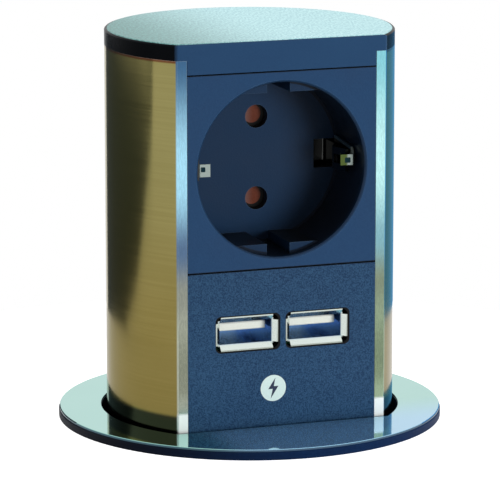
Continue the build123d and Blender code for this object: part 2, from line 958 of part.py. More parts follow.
def gas_rod():
    piston_low = profile_bottom + bush_height + piston_lift
    piston_radius = strut_radius - strut_wall - piston_gap
    shaft = rod(0, strut_y, rod_radius, cap_bottom + play, piston_low + piston_height)
    piston = rod(0, strut_y, piston_radius, piston_low, piston_low + piston_height)
    return shaft + chamfer(piston.edges().filter_by(GeomType.CIRCLE), strut_wall / 2)


def rod_nut():
    hexagon = Pos(0, strut_y) * (RegularPolygon(rod_nut_radius, 6) - Circle(rod_radius + play))
    return upright(hexagon, rod_seat, rod_seat + rod_nut_height)


# Sleeve: a head with the flange and the collar that guides the column, and the threaded barrel under it
def head_screw_places():
    return radial_places(barrel_outer, -head_screw_drop, head_screw_angles)


def guide_head():
    head = chamfer(
        upright(Circle(flange_radius), 0, flange_thickness).edges().group_by(Axis.Z)[-1], flange_edge
    )
    head += upright(Circle(barrel_inner - play), -collar_depth, 0)
    head -= upright(d_face(hole_radius, hole_flat), -collar_depth - overrun, flange_thickness + overrun)
    pocket = Circle(barrel_inner) - d_face(barrel_outer, hole_flat + collar_skin)
    head -= upright(pocket, -collar_depth - overrun, -wiper_depth - wiper_thickness - collar_skin)
    groove = d_face(hole_radius + wiper_root, hole_flat + wiper_root)
    head -= upright(groove, -wiper_depth - wiper_thickness, -wiper_depth)
    head -= upright(ring_face(gasket_inner, gasket_outer), -overrun, gasket_thickness)
    for place in head_screw_places():
        head -= place * small_screw_hole(head_screw_length)
    return head


def head_screws():
    return [place * small_screw(head_screw_length) for place in head_screw_places()]


def thread_span():
    """Some turns of the barrel's right handed thread: a flat topped ridge, its foot inside the barrel."""
    path = Helix(thread_pitch, span_length, barrel_root)
    root, crest = thread_root_width / 2, thread_crest_width / 2
    ridge = Polyline(
        (-thread_foot, -root), (thread_rise, -crest), (thread_rise, crest), (-thread_foot, root), close=True
    )
    start = Plane(origin=path @ 0, x_dir=(1, 0, 0), z_dir=path % 0)
    return sweep(start * make_face(ridge), path=path, is_frenet=True)


def outer_sleeve():
    """The barrel: full radius above the thread, the threaded root below it, guide ribs and air slots."""
    sleeve = upright(ring_face(barrel_inner, barrel_outer), -thread_start, 0)
    sleeve += upright(ring_face(barrel_inner, barrel_root), barrel_bottom, -thread_start)
    span = thread_span()
    for index in range(thread_spans):
        sleeve += Pos(0, 0, thread_low + index * span_length) * span
    rib_reach = front_offset + 2 * running_gap
    rib_top = -collar_depth - bumper_thickness - play
    outside = Circle((barrel_inner + barrel_root) / 2) - d_face(2 * barrel_outer, rib_reach)
    for side in (-1, 1):
        x = side * (rib_spacing + rib_width) / 2
        strip = outside & (Pos(x, -barrel_outer) * Rectangle(rib_width, 2 * barrel_outer))
        sleeve += upright(strip, barrel_bottom + spigot_height + play, rib_top)
    vent_z = barrel_bottom + barrel_vent_rise + barrel_vent_height / 2
    vent = RectangleRounded(barrel_vent_width, barrel_vent_height, barrel_vent_width * vent_round_share)
    vent = across(Pos(0, vent_z) * vent, barrel_inner - overrun, barrel_outer)
    for index in range(barrel_vent_count):
        sleeve -= Rot(0, 0, 360 * (index + 1 / 2) / barrel_vent_count) * vent
    for place in head_screw_places():
        sleeve -= place * small_screw_hole(head_screw_length)
    for place in bottom_screw_places():
        sleeve -= place * small_screw_hole(bottom_screw_length)
    return sleeve


def bottom_screw_places():
    return radial_places(barrel_root, barrel_bottom + spigot_height / 2, bottom_screw_angles)


def bottom_screws():
    return [place * small_screw(bottom_screw_length) for place in bottom_screw_places()]


def bottom_cap():
    disc = upright(Circle(barrel_root), cap_bottom, barrel_bottom)
    cap = chamfer(disc.edges().group_by(Axis.Z)[0], cap_thickness / 3)
    cap += upright(ring_face(spigot_inner, spigot_outer), barrel_bottom, barrel_bottom + spigot_height)
    cap += rod(0, strut_y, rod_boss_radius, barrel_bottom, rod_seat)
    cap -= rod(0, strut_y, rod_radius + play, cap_bottom - overrun, rod_seat + overrun)
    cap -= rod(0, gland_y, cable_hole, cap_bottom - overrun, barrel_bottom + overrun)
    for place in bottom_screw_places():
        cap -= place * small_screw_hole(bottom_screw_length)
    return cap


def trim_ring():
    face = Circle(flange_radius - trim_inset) - d_face(hole_radius + play, hole_flat + play)
    ring = upright(face, flange_thickness, ring_height)
    outer = ring.edges().group_by(Axis.Z)[-1].filter_by(GeomType.CIRCLE).sort_by(SortBy.RADIUS)[-1:]
    return chamfer(outer, trim_edge)


def wiper_seal():
    low = -wiper_depth - wiper_thickness + play
    root = d_face(hole_radius + wiper_root - play, hole_flat + wiper_root - play)
    lip = d_face(column_radius + running_gap, front_offset + running_gap)
    return upright(root - lip, low, -wiper_depth - play)


def stop_bumper():
    face = d_face(barrel_inner - play, hole_flat + collar_skin - play)
    face -= d_face(hole_radius + play, hole_flat + play)
    return upright(face, -collar_depth - bumper_thickness, -collar_depth)


def desk_gasket():
    return upright(ring_face(gasket_inner + play, gasket_outer - play), 0, gasket_thickness)


# Latch that holds the column down
def latch_bracket():
    foot = block(
        -bracket_half,
        bracket_half,
        pivot_y - ear_radius,
        pivot_y + ear_radius,
        barrel_bottom,
        barrel_bottom + bracket_foot,
    )
    ear = Pos(pivot_y, pivot_z) * Circle(ear_radius)
    ear += Pos(pivot_y, (pivot_z + barrel_bottom) / 2) * Rectangle(2 * ear_radius, pivot_z - barrel_bottom)
    ear -= Pos(pivot_y, pivot_z) * Circle(pivot_radius + bush_play)
    for side in (-1, 1):
        low, high = sorted((side * bracket_half, side * (bracket_half - ear_thickness)))
        foot += across(ear, low, high)
    return foot


def latch_pin():
    pin = across(Pos(pivot_y, pivot_z) * Circle(pivot_radius), -bracket_half, bracket_half)
    return chamfer(pin.edges().filter_by(GeomType.CIRCLE), pivot_radius / 4)


def pawl_face():
    """Outline of the hooked pawl, standing open."""
    hook = make_face(
        Polyline(
            (-pawl_front, 0),
            (pawl_back, 0),
            (pawl_back, hook_height),
            (hook_reach, hook_height),
            (hook_reach, hook_height + hook_tip),
            (pawl_back, hook_height + hook_thickness),
            (-pawl_front, hook_height + hook_thickness),
            close=True,
        )
    )
    tail = Pos(tail_reach / 2, 0) * Rectangle(tail_reach, tail_thickness)
    return hook + tail + Circle(hub_radius) - Circle(pivot_radius + bush_play)


def latch_pawl():
    low = -bracket_half + ear_thickness + ear_gap
    return across(Pos(pivot_y, pivot_z) * pawl_face(), low, low + pawl_width)


def latch_spring():
    start = -bracket_half + ear_thickness + ear_gap + pawl_width + 2 * latch_wire
    wound = coil(latch_pitch, latch_turns, latch_coil, latch_wire)
    return Pos(start, pivot_y, pivot_z) * Rot(0, 90, 0) * wound


# Clamp under the worktop: a washer and a scalloped ring nut on the barrel's thread
def clamp_washer():
    return upright(ring_face(clamp_bore, clamp_bore + washer_width), washer_low, -worktop)


def clamp_nut():
    face = Circle(clamp_bore + nut_wall)
    reach = clamp_bore + nut_wall + grip_radius - grip_bite
    for index in range(grip_count):
        face -= Rot(0, 0, 360 * index / grip_count) * Pos(reach, 0) * Circle(grip_radius)
    nut = upright(face, nut_low, washer_low)
    nut = chamfer(nut.edges().group_by(Axis.Z)[0], nut_chamfer)
    collar = upright(Circle(clamp_bore + washer_width), washer_low - washer_thickness, washer_low)
    return nut + collar - upright(Circle(clamp_bore), nut_low - overrun, washer_low + overrun)


nodes = {
    "guide_head": guide_head(),
    "head_screws": head_screws(),
    "outer_sleeve": outer_sleeve(),
    "trim_ring": trim_ring(),
    "desk_gasket": desk_gasket(),
    "wiper_seal": wiper_seal(),
    "stop_bumper": stop_bumper(),
    "bottom_cap": bottom_cap(),
    "bottom_screws": bottom_screws(),
    "gas_rod": gas_rod(),
    "rod_nut": rod_nut(),
    "latch_bracket": latch_bracket(),
    "latch_pin": latch_pin(),
    "latch_spring": latch_spring(),
    "latch_pawl": latch_pawl(),
    "clamp_washer": clamp_washer(),
    "clamp_nut": clamp_nut(),
    "column_profile": column_profile(),
    "top_cap": top_cap(),
    "lid_plate": lid_plate(),
    "cap_screws": cap_screws(),
    "socket_insert": socket_insert(),
    "socket_back": socket_back(),
    "shutter": shutter(),
    "shutter_spring": shutter_spring(),
    "live_contact": pin_contact(1),
    "neutral_contact": pin_contact(-1),
    "contact_screws": contact_screws(),
    "earth_bow": earth_bow(),
    "usb_fascia": usb_fascia(),
    "usb_shell_left": usb_shell(-1),
    "usb_shell_right": usb_shell(1),
    "usb_tongue_left": usb_tongue(-1),
    "usb_tongue_right": usb_tongue(1),
    "usb_contacts": usb_contacts(),
    "usb_board": usb_board(),
    "transformer": transformer(),
    "capacitors": capacitors(),
    "usb_cover": usb_cover(),
    "foot_plate": foot_plate(),
    "base_plate": base_plate(),
    "base_screws": base_screws(),
    "guide_shoes": guide_shoes(),
    "gas_tube": gas_tube(),
    "gas_bush": gas_bush(),
    "cable_gland": cable_gland(),
    "gland_nut": gland_nut(),
    "gland_dome": gland_dome(),
    "gland_seal": gland_seal(),
    "terminal_block": terminal_block(),
    "terminal_screws": terminal_screws(),
    "latch_striker": latch_striker(),
    "striker_screws": striker_screws(),
}

for name, shape in nodes.items():
    if isinstance(shape, list):
        shape = Compound(children=[Part() + piece for piece in shape])
    export_step(shape, f"parts/{name}.step")
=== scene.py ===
import logging
import math
from dataclasses import dataclass
from enum import Enum
from functools import lru_cache
from typing import Optional, Sequence, Union

import bpy
import numpy as np
from mathutils import Matrix, Vector


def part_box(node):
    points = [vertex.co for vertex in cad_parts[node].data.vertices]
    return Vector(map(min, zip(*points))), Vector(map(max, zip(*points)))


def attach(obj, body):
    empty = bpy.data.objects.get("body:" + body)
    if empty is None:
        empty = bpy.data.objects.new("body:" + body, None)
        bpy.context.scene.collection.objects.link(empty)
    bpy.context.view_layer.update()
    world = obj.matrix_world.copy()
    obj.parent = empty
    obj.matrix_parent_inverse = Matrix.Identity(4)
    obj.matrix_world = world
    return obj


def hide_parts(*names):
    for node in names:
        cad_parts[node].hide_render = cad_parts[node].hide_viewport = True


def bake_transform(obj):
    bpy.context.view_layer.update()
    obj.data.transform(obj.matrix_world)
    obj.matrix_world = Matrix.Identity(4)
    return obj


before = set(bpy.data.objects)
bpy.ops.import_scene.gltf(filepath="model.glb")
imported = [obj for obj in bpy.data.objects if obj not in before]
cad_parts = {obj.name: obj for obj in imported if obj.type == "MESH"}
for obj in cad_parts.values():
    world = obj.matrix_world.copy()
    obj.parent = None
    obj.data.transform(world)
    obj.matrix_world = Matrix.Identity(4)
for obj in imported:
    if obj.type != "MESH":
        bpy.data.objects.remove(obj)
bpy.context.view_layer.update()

# The pop up desk socket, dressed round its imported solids. Sizes are in millimetres here and
# become metres where a mesh is made; the origin is on the column's axis at the worktop's surface.

MM = 0.001
# The plane of the column's flat front, with which both inserts are flush
FRONT = -22.2
# Most values of a noise pattern lie between these
NOISE_LOW, NOISE_HIGH = 0.3, 0.7
# A mask fades from this far inside its outline to this far outside
FADE_INSIDE, FADE_OUTSIDE = 0.08, 0.02
# An edge starts to show, and shows in full, at these cosines between its rounded and flat normals
EDGE_START, EDGE_FULL = 0.97, 0.8
# Places of the colour sockets among those of a mix node
MIX_FIRST, MIX_SECOND, MIX_RESULT = 6, 7, 2
LOG = logging.getLogger("desk_socket")

Triple = tuple[float, float, float]
Colour = Triple
Tint = tuple[int, int, int]
Material = bpy.types.Material
Piece = bpy.types.Object
Socket = bpy.types.NodeSocket
Value = Union[float, Colour, Socket]


def screen(red: int, green: int, blue: int) -> Colour:
    """A colour given as 0 to 255 screen values, as the linear values that a shader takes.

    Args:
        red: Red, 0 to 255.
        green: Green, 0 to 255.
        blue: Blue, 0 to 255.

    Returns:
        The three linear values.
    """
    share = np.array([red, green, blue]) / 255
    linear = np.where(share <= 0.04045, share / 12.92, ((share + 0.055) / 1.055) ** 2.4)
    return tuple(float(value) for value in linear)


class Body(Enum):
    """The bodies of the frame that new pieces ride on."""

    COLUMN = "column"
    NUT = "clamp_nut"
    SHUTTER = "shutter"


class Graph:
    """A material with a Principled shader and short calls for the nodes that the finishes use."""

    def __init__(self, name: str) -> None:
        """Starts the material.

        Args:
            name: The material's name.
        """
        self.material = bpy.data.materials.new(name)
        self.material.use_nodes = True
        self.tree = self.material.node_tree
        self.tree.nodes.clear()
        self.shader = self.add("ShaderNodeBsdfPrincipled")
        out = self.add("ShaderNodeOutputMaterial")
        self.tree.links.new(self.shader.outputs["BSDF"], out.inputs["Surface"])
        self.place = self.add("ShaderNodeTexCoord").outputs["Object"]

    def add(self, kind: str, **settings: object) -> bpy.types.Node:
        """A new node with these properties set."""
        node = self.tree.nodes.new(kind)
        for key, value in settings.items():
            setattr(node, key, value)
        return node

    def feed(self, target: Socket, value: Value) -> None:
        """Links a socket to the target, or sets the target's own value."""
        if isinstance(value, Socket):
            self.tree.links.new(value, target)
        elif isinstance(value, tuple):
            target.default_value = (*value, 1.0) if len(target.default_value) == 4 else value
        else:
            target.default_value = value

    def set(self, **values: Value) -> None:
        """Sets sockets of the Principled shader; an underscore stands for a space."""
        for key, value in values.items():
            self.feed(self.shader.inputs[key.replace("_", " ")], value)

    def stretched(self, scale: Triple) -> Socket:
        """Object coordinates stretched along the axes, for a pattern with a direction."""
        node = self.add("ShaderNodeMapping")
        self.feed(node.inputs["Vector"], self.place)
        node.inputs["Scale"].default_value = scale
        return node.outputs["Vector"]

    def noise(self, scale: float, detail: float = 2.0, where: Optional[Socket] = None) -> Socket:
        """Soft noise, 0 to 1, with this many cells in a metre."""
        node = self.add("ShaderNodeTexNoise")
        self.feed(node.inputs["Vector"], where or self.place)
        node.inputs["Scale"].default_value = scale
        node.inputs["Detail"].default_value = detail
        return node.outputs["Fac"]

    def pits(self, scale: float) -> Socket:
        """Distance to the nearest grain of a random grain pattern."""
        node = self.add("ShaderNodeTexVoronoi")
        self.feed(node.inputs["Vector"], self.place)
        node.inputs["Scale"].default_value = scale
        return node.outputs["Distance"]

    def math(self, operation: str, first: Value, second: Value = 0.0) -> Socket:
        """One arithmetic step."""
        node = self.add("ShaderNodeMath", operation=operation)
        self.feed(node.inputs[0], first)
        self.feed(node.inputs[1], second)
        return node.outputs[0]

    def times(self, first: Value, second: Value) -> Socket:
        """The product of two values."""
        return self.math("MULTIPLY", first, second)

    def spread(self, value: Socket, low: float, high: float, start: float, end: float) -> Socket:
        """Carries low..high to start..end in a smooth step, clamped."""
        node = self.add("ShaderNodeMapRange", interpolation_type="SMOOTHSTEP")
        names = ("Value", "From Min", "From Max", "To Min", "To Max")
        for key, given in zip(names, (value, low, high, start, end)):
            self.feed(node.inputs[key], given)
        return node.outputs["Result"]

    def level(self, pattern: Socket, start: float = 0.0, end: float = 1.0) -> Socket:
        """Carries the middle of a noise pattern to start..end."""
        return self.spread(pattern, NOISE_LOW, NOISE_HIGH, start, end)

    def weigh(self, *parts: tuple[Value, float]) -> Socket:
        """The sum of the parts, each times its weight."""
        total, *rest = [self.times(value, weight) for value, weight in parts]
        for product in rest:
            total = self.math("ADD", total, product)
        return total

    def axis(self, letter: str) -> Socket:
        """One of the object's coordinates, X, Y or Z, in metres."""
        node = self.add("ShaderNodeSeparateXYZ")
        self.feed(node.inputs[0], self.place)
        return node.outputs[letter]

    def ramp(self, letter: str, low: float, high: float, start: float = 0.0, end: float = 1.0) -> Socket:
        """Carries low..high millimetres along an axis to start..end, as spread does."""
        return self.spread(self.axis(letter), low * MM, high * MM, start, end)

    def upward(self, low: float, high: float) -> Socket:
        """1 on faces that look up, 0 on others, between these heights of the normal."""
        node = self.add("ShaderNodeSeparateXYZ")
        self.feed(node.inputs[0], self.add("ShaderNodeNewGeometry").outputs["Normal"])
        return self.spread(node.outputs["Z"], low, high, 0.0, 1.0)

    def near(self, letter: str, place: float, reach: float) -> Socket:
        """1 up to half the reach from a plane across an axis, 0 past the reach, in millimetres."""
        away = self.math("ABSOLUTE", self.math("SUBTRACT", self.axis(letter), place * MM))
        return self.spread(away, 0.5 * reach * MM, reach * MM, 1.0, 0.0)

    def inside(self, middle: tuple[float, float], half: tuple[float, float], radius: float) -> Socket:
        """1 inside a rounded rectangle seen from the front, 0 outside.

        With q the distance past each half size, clipped at 0, a point is inside where |q| < radius.

        Args:
            middle: The rectangle's middle, X and Z in millimetres.
            half: Its half sizes up to the rounding.
            radius: The rounding's radius.

        Returns:
            The mask.
        """
        squares = []
        for letter, centre, reach in zip("XZ", middle, half):
            away = self.math("ABSOLUTE", self.math("SUBTRACT", self.axis(letter), centre * MM))
            past = self.math("MAXIMUM", self.math("SUBTRACT", away, reach * MM), 0.0)
            squares.append(self.times(past, past))
        away = self.math("SQRT", self.math("ADD", *squares))
        return self.spread(away, (radius - FADE_INSIDE) * MM, (radius + FADE_OUTSIDE) * MM, 1.0, 0.0)

    def cover(self, mask: Value, colour: Value) -> None:
        """Blends the colour so far towards another one where the mask is 1."""
        base = self.shader.inputs["Base Color"].links[0].from_socket
        self.set(Base_Color=self.blend(mask, base, colour))

    def blend(self, share: Value, first: Value, second: Value) -> Socket:
        """A colour between two colours."""
        node = self.add("ShaderNodeMix", data_type="RGBA")
        self.feed(node.inputs[0], share)
        self.feed(node.inputs[MIX_FIRST], first)
        self.feed(node.inputs[MIX_SECOND], second)
        return node.outputs[MIX_RESULT]

    def bump(self, height: Socket, depth: float) -> Socket:
        """A normal from a height, with its full depth in millimetres."""
        node = self.add("ShaderNodeBump")
        node.inputs["Distance"].default_value = depth * MM
        self.feed(node.inputs["Height"], height)
        return node.outputs["Normal"]

    def edges(self, width: float) -> Socket:
        """1 on the object's outer and inner edges, 0 on its faces, from a rounded normal."""
        rounded = self.add("ShaderNodeBevel", samples=4)
        rounded.inputs["Radius"].default_value = width * MM
        flat = self.add("ShaderNodeNewGeometry")
        node = self.add("ShaderNodeVectorMath", operation="DOT_PRODUCT")
        self.feed(node.inputs[0], rounded.outputs["Normal"])
        self.feed(node.inputs[1], flat.outputs["Normal"])
        return self.spread(node.outputs["Value"], EDGE_START, EDGE_FULL, 0.0, 1.0)


@dataclass(frozen=True)
class Moulding:
    """Moulded plastic: spark grain, faint clouds in the colour, uneven gloss and rubbed edges."""

    name: str
    colour: Tint
    tone: Tint
    worn: Tint
    roughness: float = 0.42
    grains: float = 2600.0
    depth: float = 0.02
    clouds: float = 60.0
    speckle: float = 0.35
    edge: float = 0.25
    shine: float = 0.2
    uneven: float = 0.07

    def graph(self) -> Graph:
        """The finish as a node graph that a piece can add to."""
        g = Graph(self.name)
        grain = g.noise(self.grains, 2.0)
        cloud = g.noise(self.clouds, 3.0)
        mix = g.weigh((g.level(grain), self.speckle), (cloud, 1.0 - self.speckle))
        body = g.blend(mix, screen(*self.colour), screen(*self.tone))
        rubbed = g.times(g.edges(self.edge), g.spread(cloud, 0.35, 0.65, 0.25, 0.8))
        dull = g.math("SUBTRACT", cloud, g.times(rubbed, 0.3))
        relief = g.math("ADD", grain, g.times(g.pits(self.grains * 0.6), 0.5))
        g.set(Base_Color=g.blend(rubbed, body, screen(*self.worn)),
              Roughness=g.spread(dull, 0.2, 0.8, self.roughness - self.uneven,
                                 self.roughness + self.uneven),
              Normal=g.bump(relief, self.depth),
              Specular_IOR_Level=self.shine)
        return g


@dataclass(frozen=True)
class Brushed:
    """Brushed metal: fine lines along one direction, tone bands and bright rubbed edges."""

    name: str
    colour: Tint
    tone: Tint
    bright: Tint
    along: Triple
    roughness: float = 0.26
    depth: float = 0.006
    edge: float = 0.2
    bands: float = 0.09
    smoother: float = 0.06
    rougher: float = 0.07

    def graph(self) -> Graph:
        """The finish as a node graph that a piece can add to."""
        g = Graph(self.name)
        fine = g.noise(1.0, 3.0, g.stretched(self.along))
        broad = g.noise(self.bands, 2.0, g.stretched(self.along))
        cloud = g.noise(45.0, 2.0)
        mix = g.level(g.weigh((fine, 0.45), (broad, 0.35), (cloud, 0.2)))
        body = g.blend(mix, screen(*self.colour), screen(*self.tone))
        rubbed = g.times(g.edges(self.edge), 0.7)
        g.set(Base_Color=g.blend(rubbed, body, screen(*self.bright)),
              Metallic=1.0,
              Roughness=g.level(g.weigh((fine, 0.6), (cloud, 0.4)),
                                self.roughness - self.smoother, self.roughness + self.rougher),
              Normal=g.bump(fine, self.depth))
        return g


@dataclass(frozen=True)
class Polished:
    """Polished or plated metal: a clear mirror with hairline scratches and a faint haze."""

    name: str
    colour: Tint
    haze: Tint
    roughness: float = 0.06
    scratches: float = 220.0
    depth: float = 0.0015
    edge: float = 0.12
    rougher: float = 0.12

    def graph(self) -> Graph:
        """The finish as a node graph that a piece can add to."""
        g = Graph(self.name)
        cloud = g.noise(70.0, 3.0)
        hairlines = g.stretched((self.scratches, self.scratches * 14, self.scratches * 3))
        scratch = g.spread(g.noise(1.0, 4.0, hairlines), 0.62, 0.7, 0.0, 1.0)
        mark = g.times(scratch, g.spread(cloud, 0.4, 0.6, 0.2, 1.0))
        wear = g.math("MAXIMUM", mark, g.times(g.edges(self.edge), 0.6))
        g.set(Base_Color=g.blend(g.times(cloud, 0.5), screen(*self.colour), screen(*self.haze)),
              Metallic=1.0,
              Roughness=g.spread(wear, 0.0, 1.0, self.roughness, self.roughness + self.rougher),
              Normal=g.bump(g.math("ADD", cloud, mark), self.depth))
        return g


@dataclass(frozen=True)
class Rubber:
    """Matt rubber: soft grain, dusty lighter patches and a dull sheen."""

    name: str
    colour: Tint
    dust: Tint

    def graph(self) -> Graph:
        """The finish as a node graph that a piece can add to."""
        g = Graph(self.name)
        grain = g.noise(1900.0, 3.0)
        cloud = g.noise(110.0, 3.0)
        dusty = g.times(grain, cloud)
        g.set(Base_Color=g.blend(dusty, screen(*self.colour), screen(*self.dust)),
              Roughness=g.level(grain, 0.62, 0.85),
              Normal=g.bump(grain, 0.03), IOR=1.48)
        return g


def blue_grain(name: str, colour: Tint, tone: Tint, grains: float, speckle: float) -> Moulding:
    """A finish of the two blue inserts, which differ in grain and depth of colour."""
    return Moulding(name, colour, tone, (92, 122, 152), roughness=0.4, grains=grains, depth=0.022,
                    clouds=70.0, speckle=speckle)


FINISHES = {
    "black": Moulding("black_moulding", (14, 22, 38), (22, 34, 56), (56, 68, 90),
                      roughness=0.4, grains=1500.0, depth=0.03),
    "head": Moulding("head_moulding", (10, 32, 66), (18, 46, 86), (30, 60, 100),
                     roughness=0.45, grains=1500.0, depth=0.02, shine=0.08),
    "inner": Moulding("inner_moulding", (42, 45, 51), (54, 57, 63), (86, 90, 98),
                      roughness=0.5, grains=1200.0, depth=0.03),
    "socket": blue_grain("socket_moulding", (29, 58, 92), (38, 70, 106), grains=3000.0, speckle=0.3),
    "charging": blue_grain("charging_moulding", (14, 40, 72), (52, 86, 118), grains=3900.0, speckle=0.75),
    "shutter": Moulding("shutter_moulding", (80, 38, 22), (98, 48, 34), (130, 92, 82), roughness=0.36),
    "shoe": Moulding("shoe_moulding", (214, 212, 200), (232, 230, 220), (244, 244, 238), roughness=0.34),
    "tongue": Moulding("tongue_moulding", (226, 228, 214), (238, 241, 230), (246, 248, 242),
                       roughness=0.26, grains=3000.0, depth=0.006),
    "terminal": Moulding("terminal_moulding", (206, 199, 178), (222, 216, 198), (238, 234, 222)),
    "gland": Moulding("gland_moulding", (26, 27, 30), (40, 41, 45), (84, 86, 92),
                      roughness=0.44, grains=1700.0, depth=0.025),
    "rubber": Rubber("seal_rubber_finish", (14, 14, 15), (46, 46, 48)),
    "brass": Polished("brass_plating", (206, 168, 92), (184, 142, 76), roughness=0.2),
    "earth": Polished("nickel_plating", (214, 214, 208), (190, 188, 178), roughness=0.16),
    "shell": Polished("shell_plating", (226, 236, 230), (206, 216, 212), roughness=0.17, scratches=400.0),
    "gold": Polished("gold_plating", (226, 182, 92), (206, 160, 78), roughness=0.18),
    "zinc": Polished("zinc_plating", (186, 190, 194), (160, 164, 170), roughness=0.24, scratches=500.0),
    "ring": Polished("ring_polish", (160, 209, 200), (150, 202, 193), roughness=0.035, scratches=160.0,
                     depth=0.0006, edge=0.1),
    "steel": Brushed("drawn_steel", (150, 152, 156), (178, 180, 184), (216, 218, 222),
                     along=(900.0, 900.0, 40.0), roughness=0.3),
    "spring": Polished("spring_wire", (152, 154, 160), (126, 128, 134), roughness=0.2, scratches=600.0),
    "tube": Moulding("tube_enamel", (22, 22, 26), (30, 31, 36), (96, 98, 104),
                     roughness=0.2, grains=260.0, depth=0.01),
    "board": Moulding("board_lacquer", (20, 76, 46), (32, 98, 60), (150, 150, 96),
                      roughness=0.28, grains=700.0, depth=0.02),
    "winding": Moulding("winding_tape", (186, 148, 52), (206, 172, 78), (98, 92, 84),
                        roughness=0.32, grains=500.0, depth=0.04),
    "can": Moulding("can_sleeve_film", (30, 36, 72), (42, 50, 92), (196, 198, 204),
                    roughness=0.22, grains=900.0, depth=0.01),
}


@lru_cache(maxsize=None)
def shared(finish: str) -> Material:
    """The material of one of FINISHES, made once for all pieces that take it plain."""
    return FINISHES[finish].graph().material


def dress(finish: str, nodes: Sequence[str]) -> None:
    """Gives CAD nodes one of the shared finishes.

    Args:
        finish: A key of FINISHES.
        nodes: Names of the nodes.
    """
    material = shared(finish)
    for name in nodes:
        paint(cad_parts[name], material)
    LOG.info("%s: %s", material.name, ", ".join(nodes))


def paint(piece: Piece, material: Material) -> None:
    """Puts one material in every slot of a piece."""
    if not piece.data.materials:
        piece.data.materials.append(material)
    for index in range(len(piece.data.materials)):
        piece.data.materials[index] = material


def place_mesh(name: str, points: np.ndarray, faces: Sequence[Sequence[int]],
               smooth: bool = True) -> Piece:
    """An object at the origin whose mesh holds these points.

    Args:
        name: The object's name.
        points: Points in millimetres, one row each.
        faces: Corner indices of each face.
        smooth: Whether the faces are shaded smooth.

    Returns:
        The object, linked to the scene.
    """
    mesh = bpy.data.meshes.new(name)
    mesh.from_pydata((points * MM).tolist(), [], faces)
    mesh.polygons.foreach_set("use_smooth", np.full(len(mesh.polygons), smooth))
    mesh.validate()
    mesh.update()
    piece = bpy.data.objects.new(name, mesh)
    bpy.context.scene.collection.objects.link(piece)
    return piece


def grid_faces(rows: int, columns: int, close_rows: bool, close_columns: bool) -> np.ndarray:
    """Four sided faces of a grid of points numbered row by row.

    The face at row i and column j joins points (i, j), (i, j+1), (i+1, j+1) and (i+1, j), and a
    closed direction wraps its last line to its first.

    Args:
        rows: Points along the first direction.
        columns: Points along the second direction.
        close_rows: Whether the last row joins the first.
        close_columns: Whether the last column joins the first.

    Returns:
        An array with four indices in each row.
    """
    i = np.arange(rows if close_rows else rows - 1)[:, None]
    j = np.arange(columns if close_columns else columns - 1)[None, :]
    up, along = (i + 1) % rows, (j + 1) % columns
    corners = (i * columns + j, i * columns + along, up * columns + along, up * columns + j)
    return np.stack(np.broadcast_arrays(*corners), -1).reshape(-1, 4)


def outward(piece: Piece) -> Piece:
    """Turns the faces of a closed piece outwards by the sign of its volume."""
    mesh = piece.data
    mesh.calc_loop_triangles()
    corners = np.zeros(len(mesh.vertices) * 3)
    mesh.vertices.foreach_get("co", corners)
    corners = corners.reshape(-1, 3)
    thirds = np.zeros(len(mesh.loop_triangles) * 3, np.int32)
    mesh.loop_triangles.foreach_get("vertices", thirds)
    a, b, c = (corners[thirds.reshape(-1, 3)[:, k]] for k in range(3))
    if float(np.einsum("ij,ij->i", a, np.cross(b, c)).sum()) < 0:
        mesh.flip_normals()
    return piece


def prism(name: str, outline: np.ndarray, near: float, far: float) -> Piece:
    """A flat plate cut to an outline in X and Z, from the plane y = near back to y = far.

    Args:
        name: The object's name.
        outline: Points of the outline, X and Z in millimetres.
        near: The front plane's Y.
        far: The back plane's Y.

    Returns:
        The closed plate.
    """
    count = len(outline)
    front = np.insert(outline, 1, near, axis=1)
    back = np.insert(outline, 1, far, axis=1)
    k = np.arange(count)
    sides = np.stack([k, (k + 1) % count, (k + 1) % count + count, k + count], -1)
    faces = [k[::-1].tolist(), (k + count).tolist(), *sides.tolist()]
    return outward(place_mesh(name, np.vstack([front, back]), faces, smooth=False))


@dataclass
class Thread:
    """The right handed thread of the barrel's solid, which the nut's groove follows."""

    pitch: float = 4.0
    low: float = -72.5
    root: float = 37.985
    height: float = 0.95
    crest_half: float = 0.5
    root_half: float = 1.11

    def groove(self, angle: np.ndarray, z: np.ndarray, land: float, gap: float) -> np.ndarray:
        """Radius of the nut's bore where it clears the ridge.

        The distance from the ridge's middle is |(z - low) / pitch - angle / turn| to its nearest
        whole number, times the pitch. The bore widens from the land to the crest's radius plus
        the gap along the flank.

        Args:
            angle: Angles about the axis.
            z: Heights.
            land: Radius of the nut's own ridge.
            gap: Room left round the barrel's ridge.

        Returns:
            The bore's radius at each point.
        """
        along = (z - self.low) / self.pitch - angle / (2 * math.pi)
        away = np.abs(along - np.round(along)) * self.pitch
        flank = (self.root_half + 2 * gap - away) / (self.root_half - self.crest_half)
        return land + (self.root + self.height + gap - land) * np.clip(flank, 0, 1)


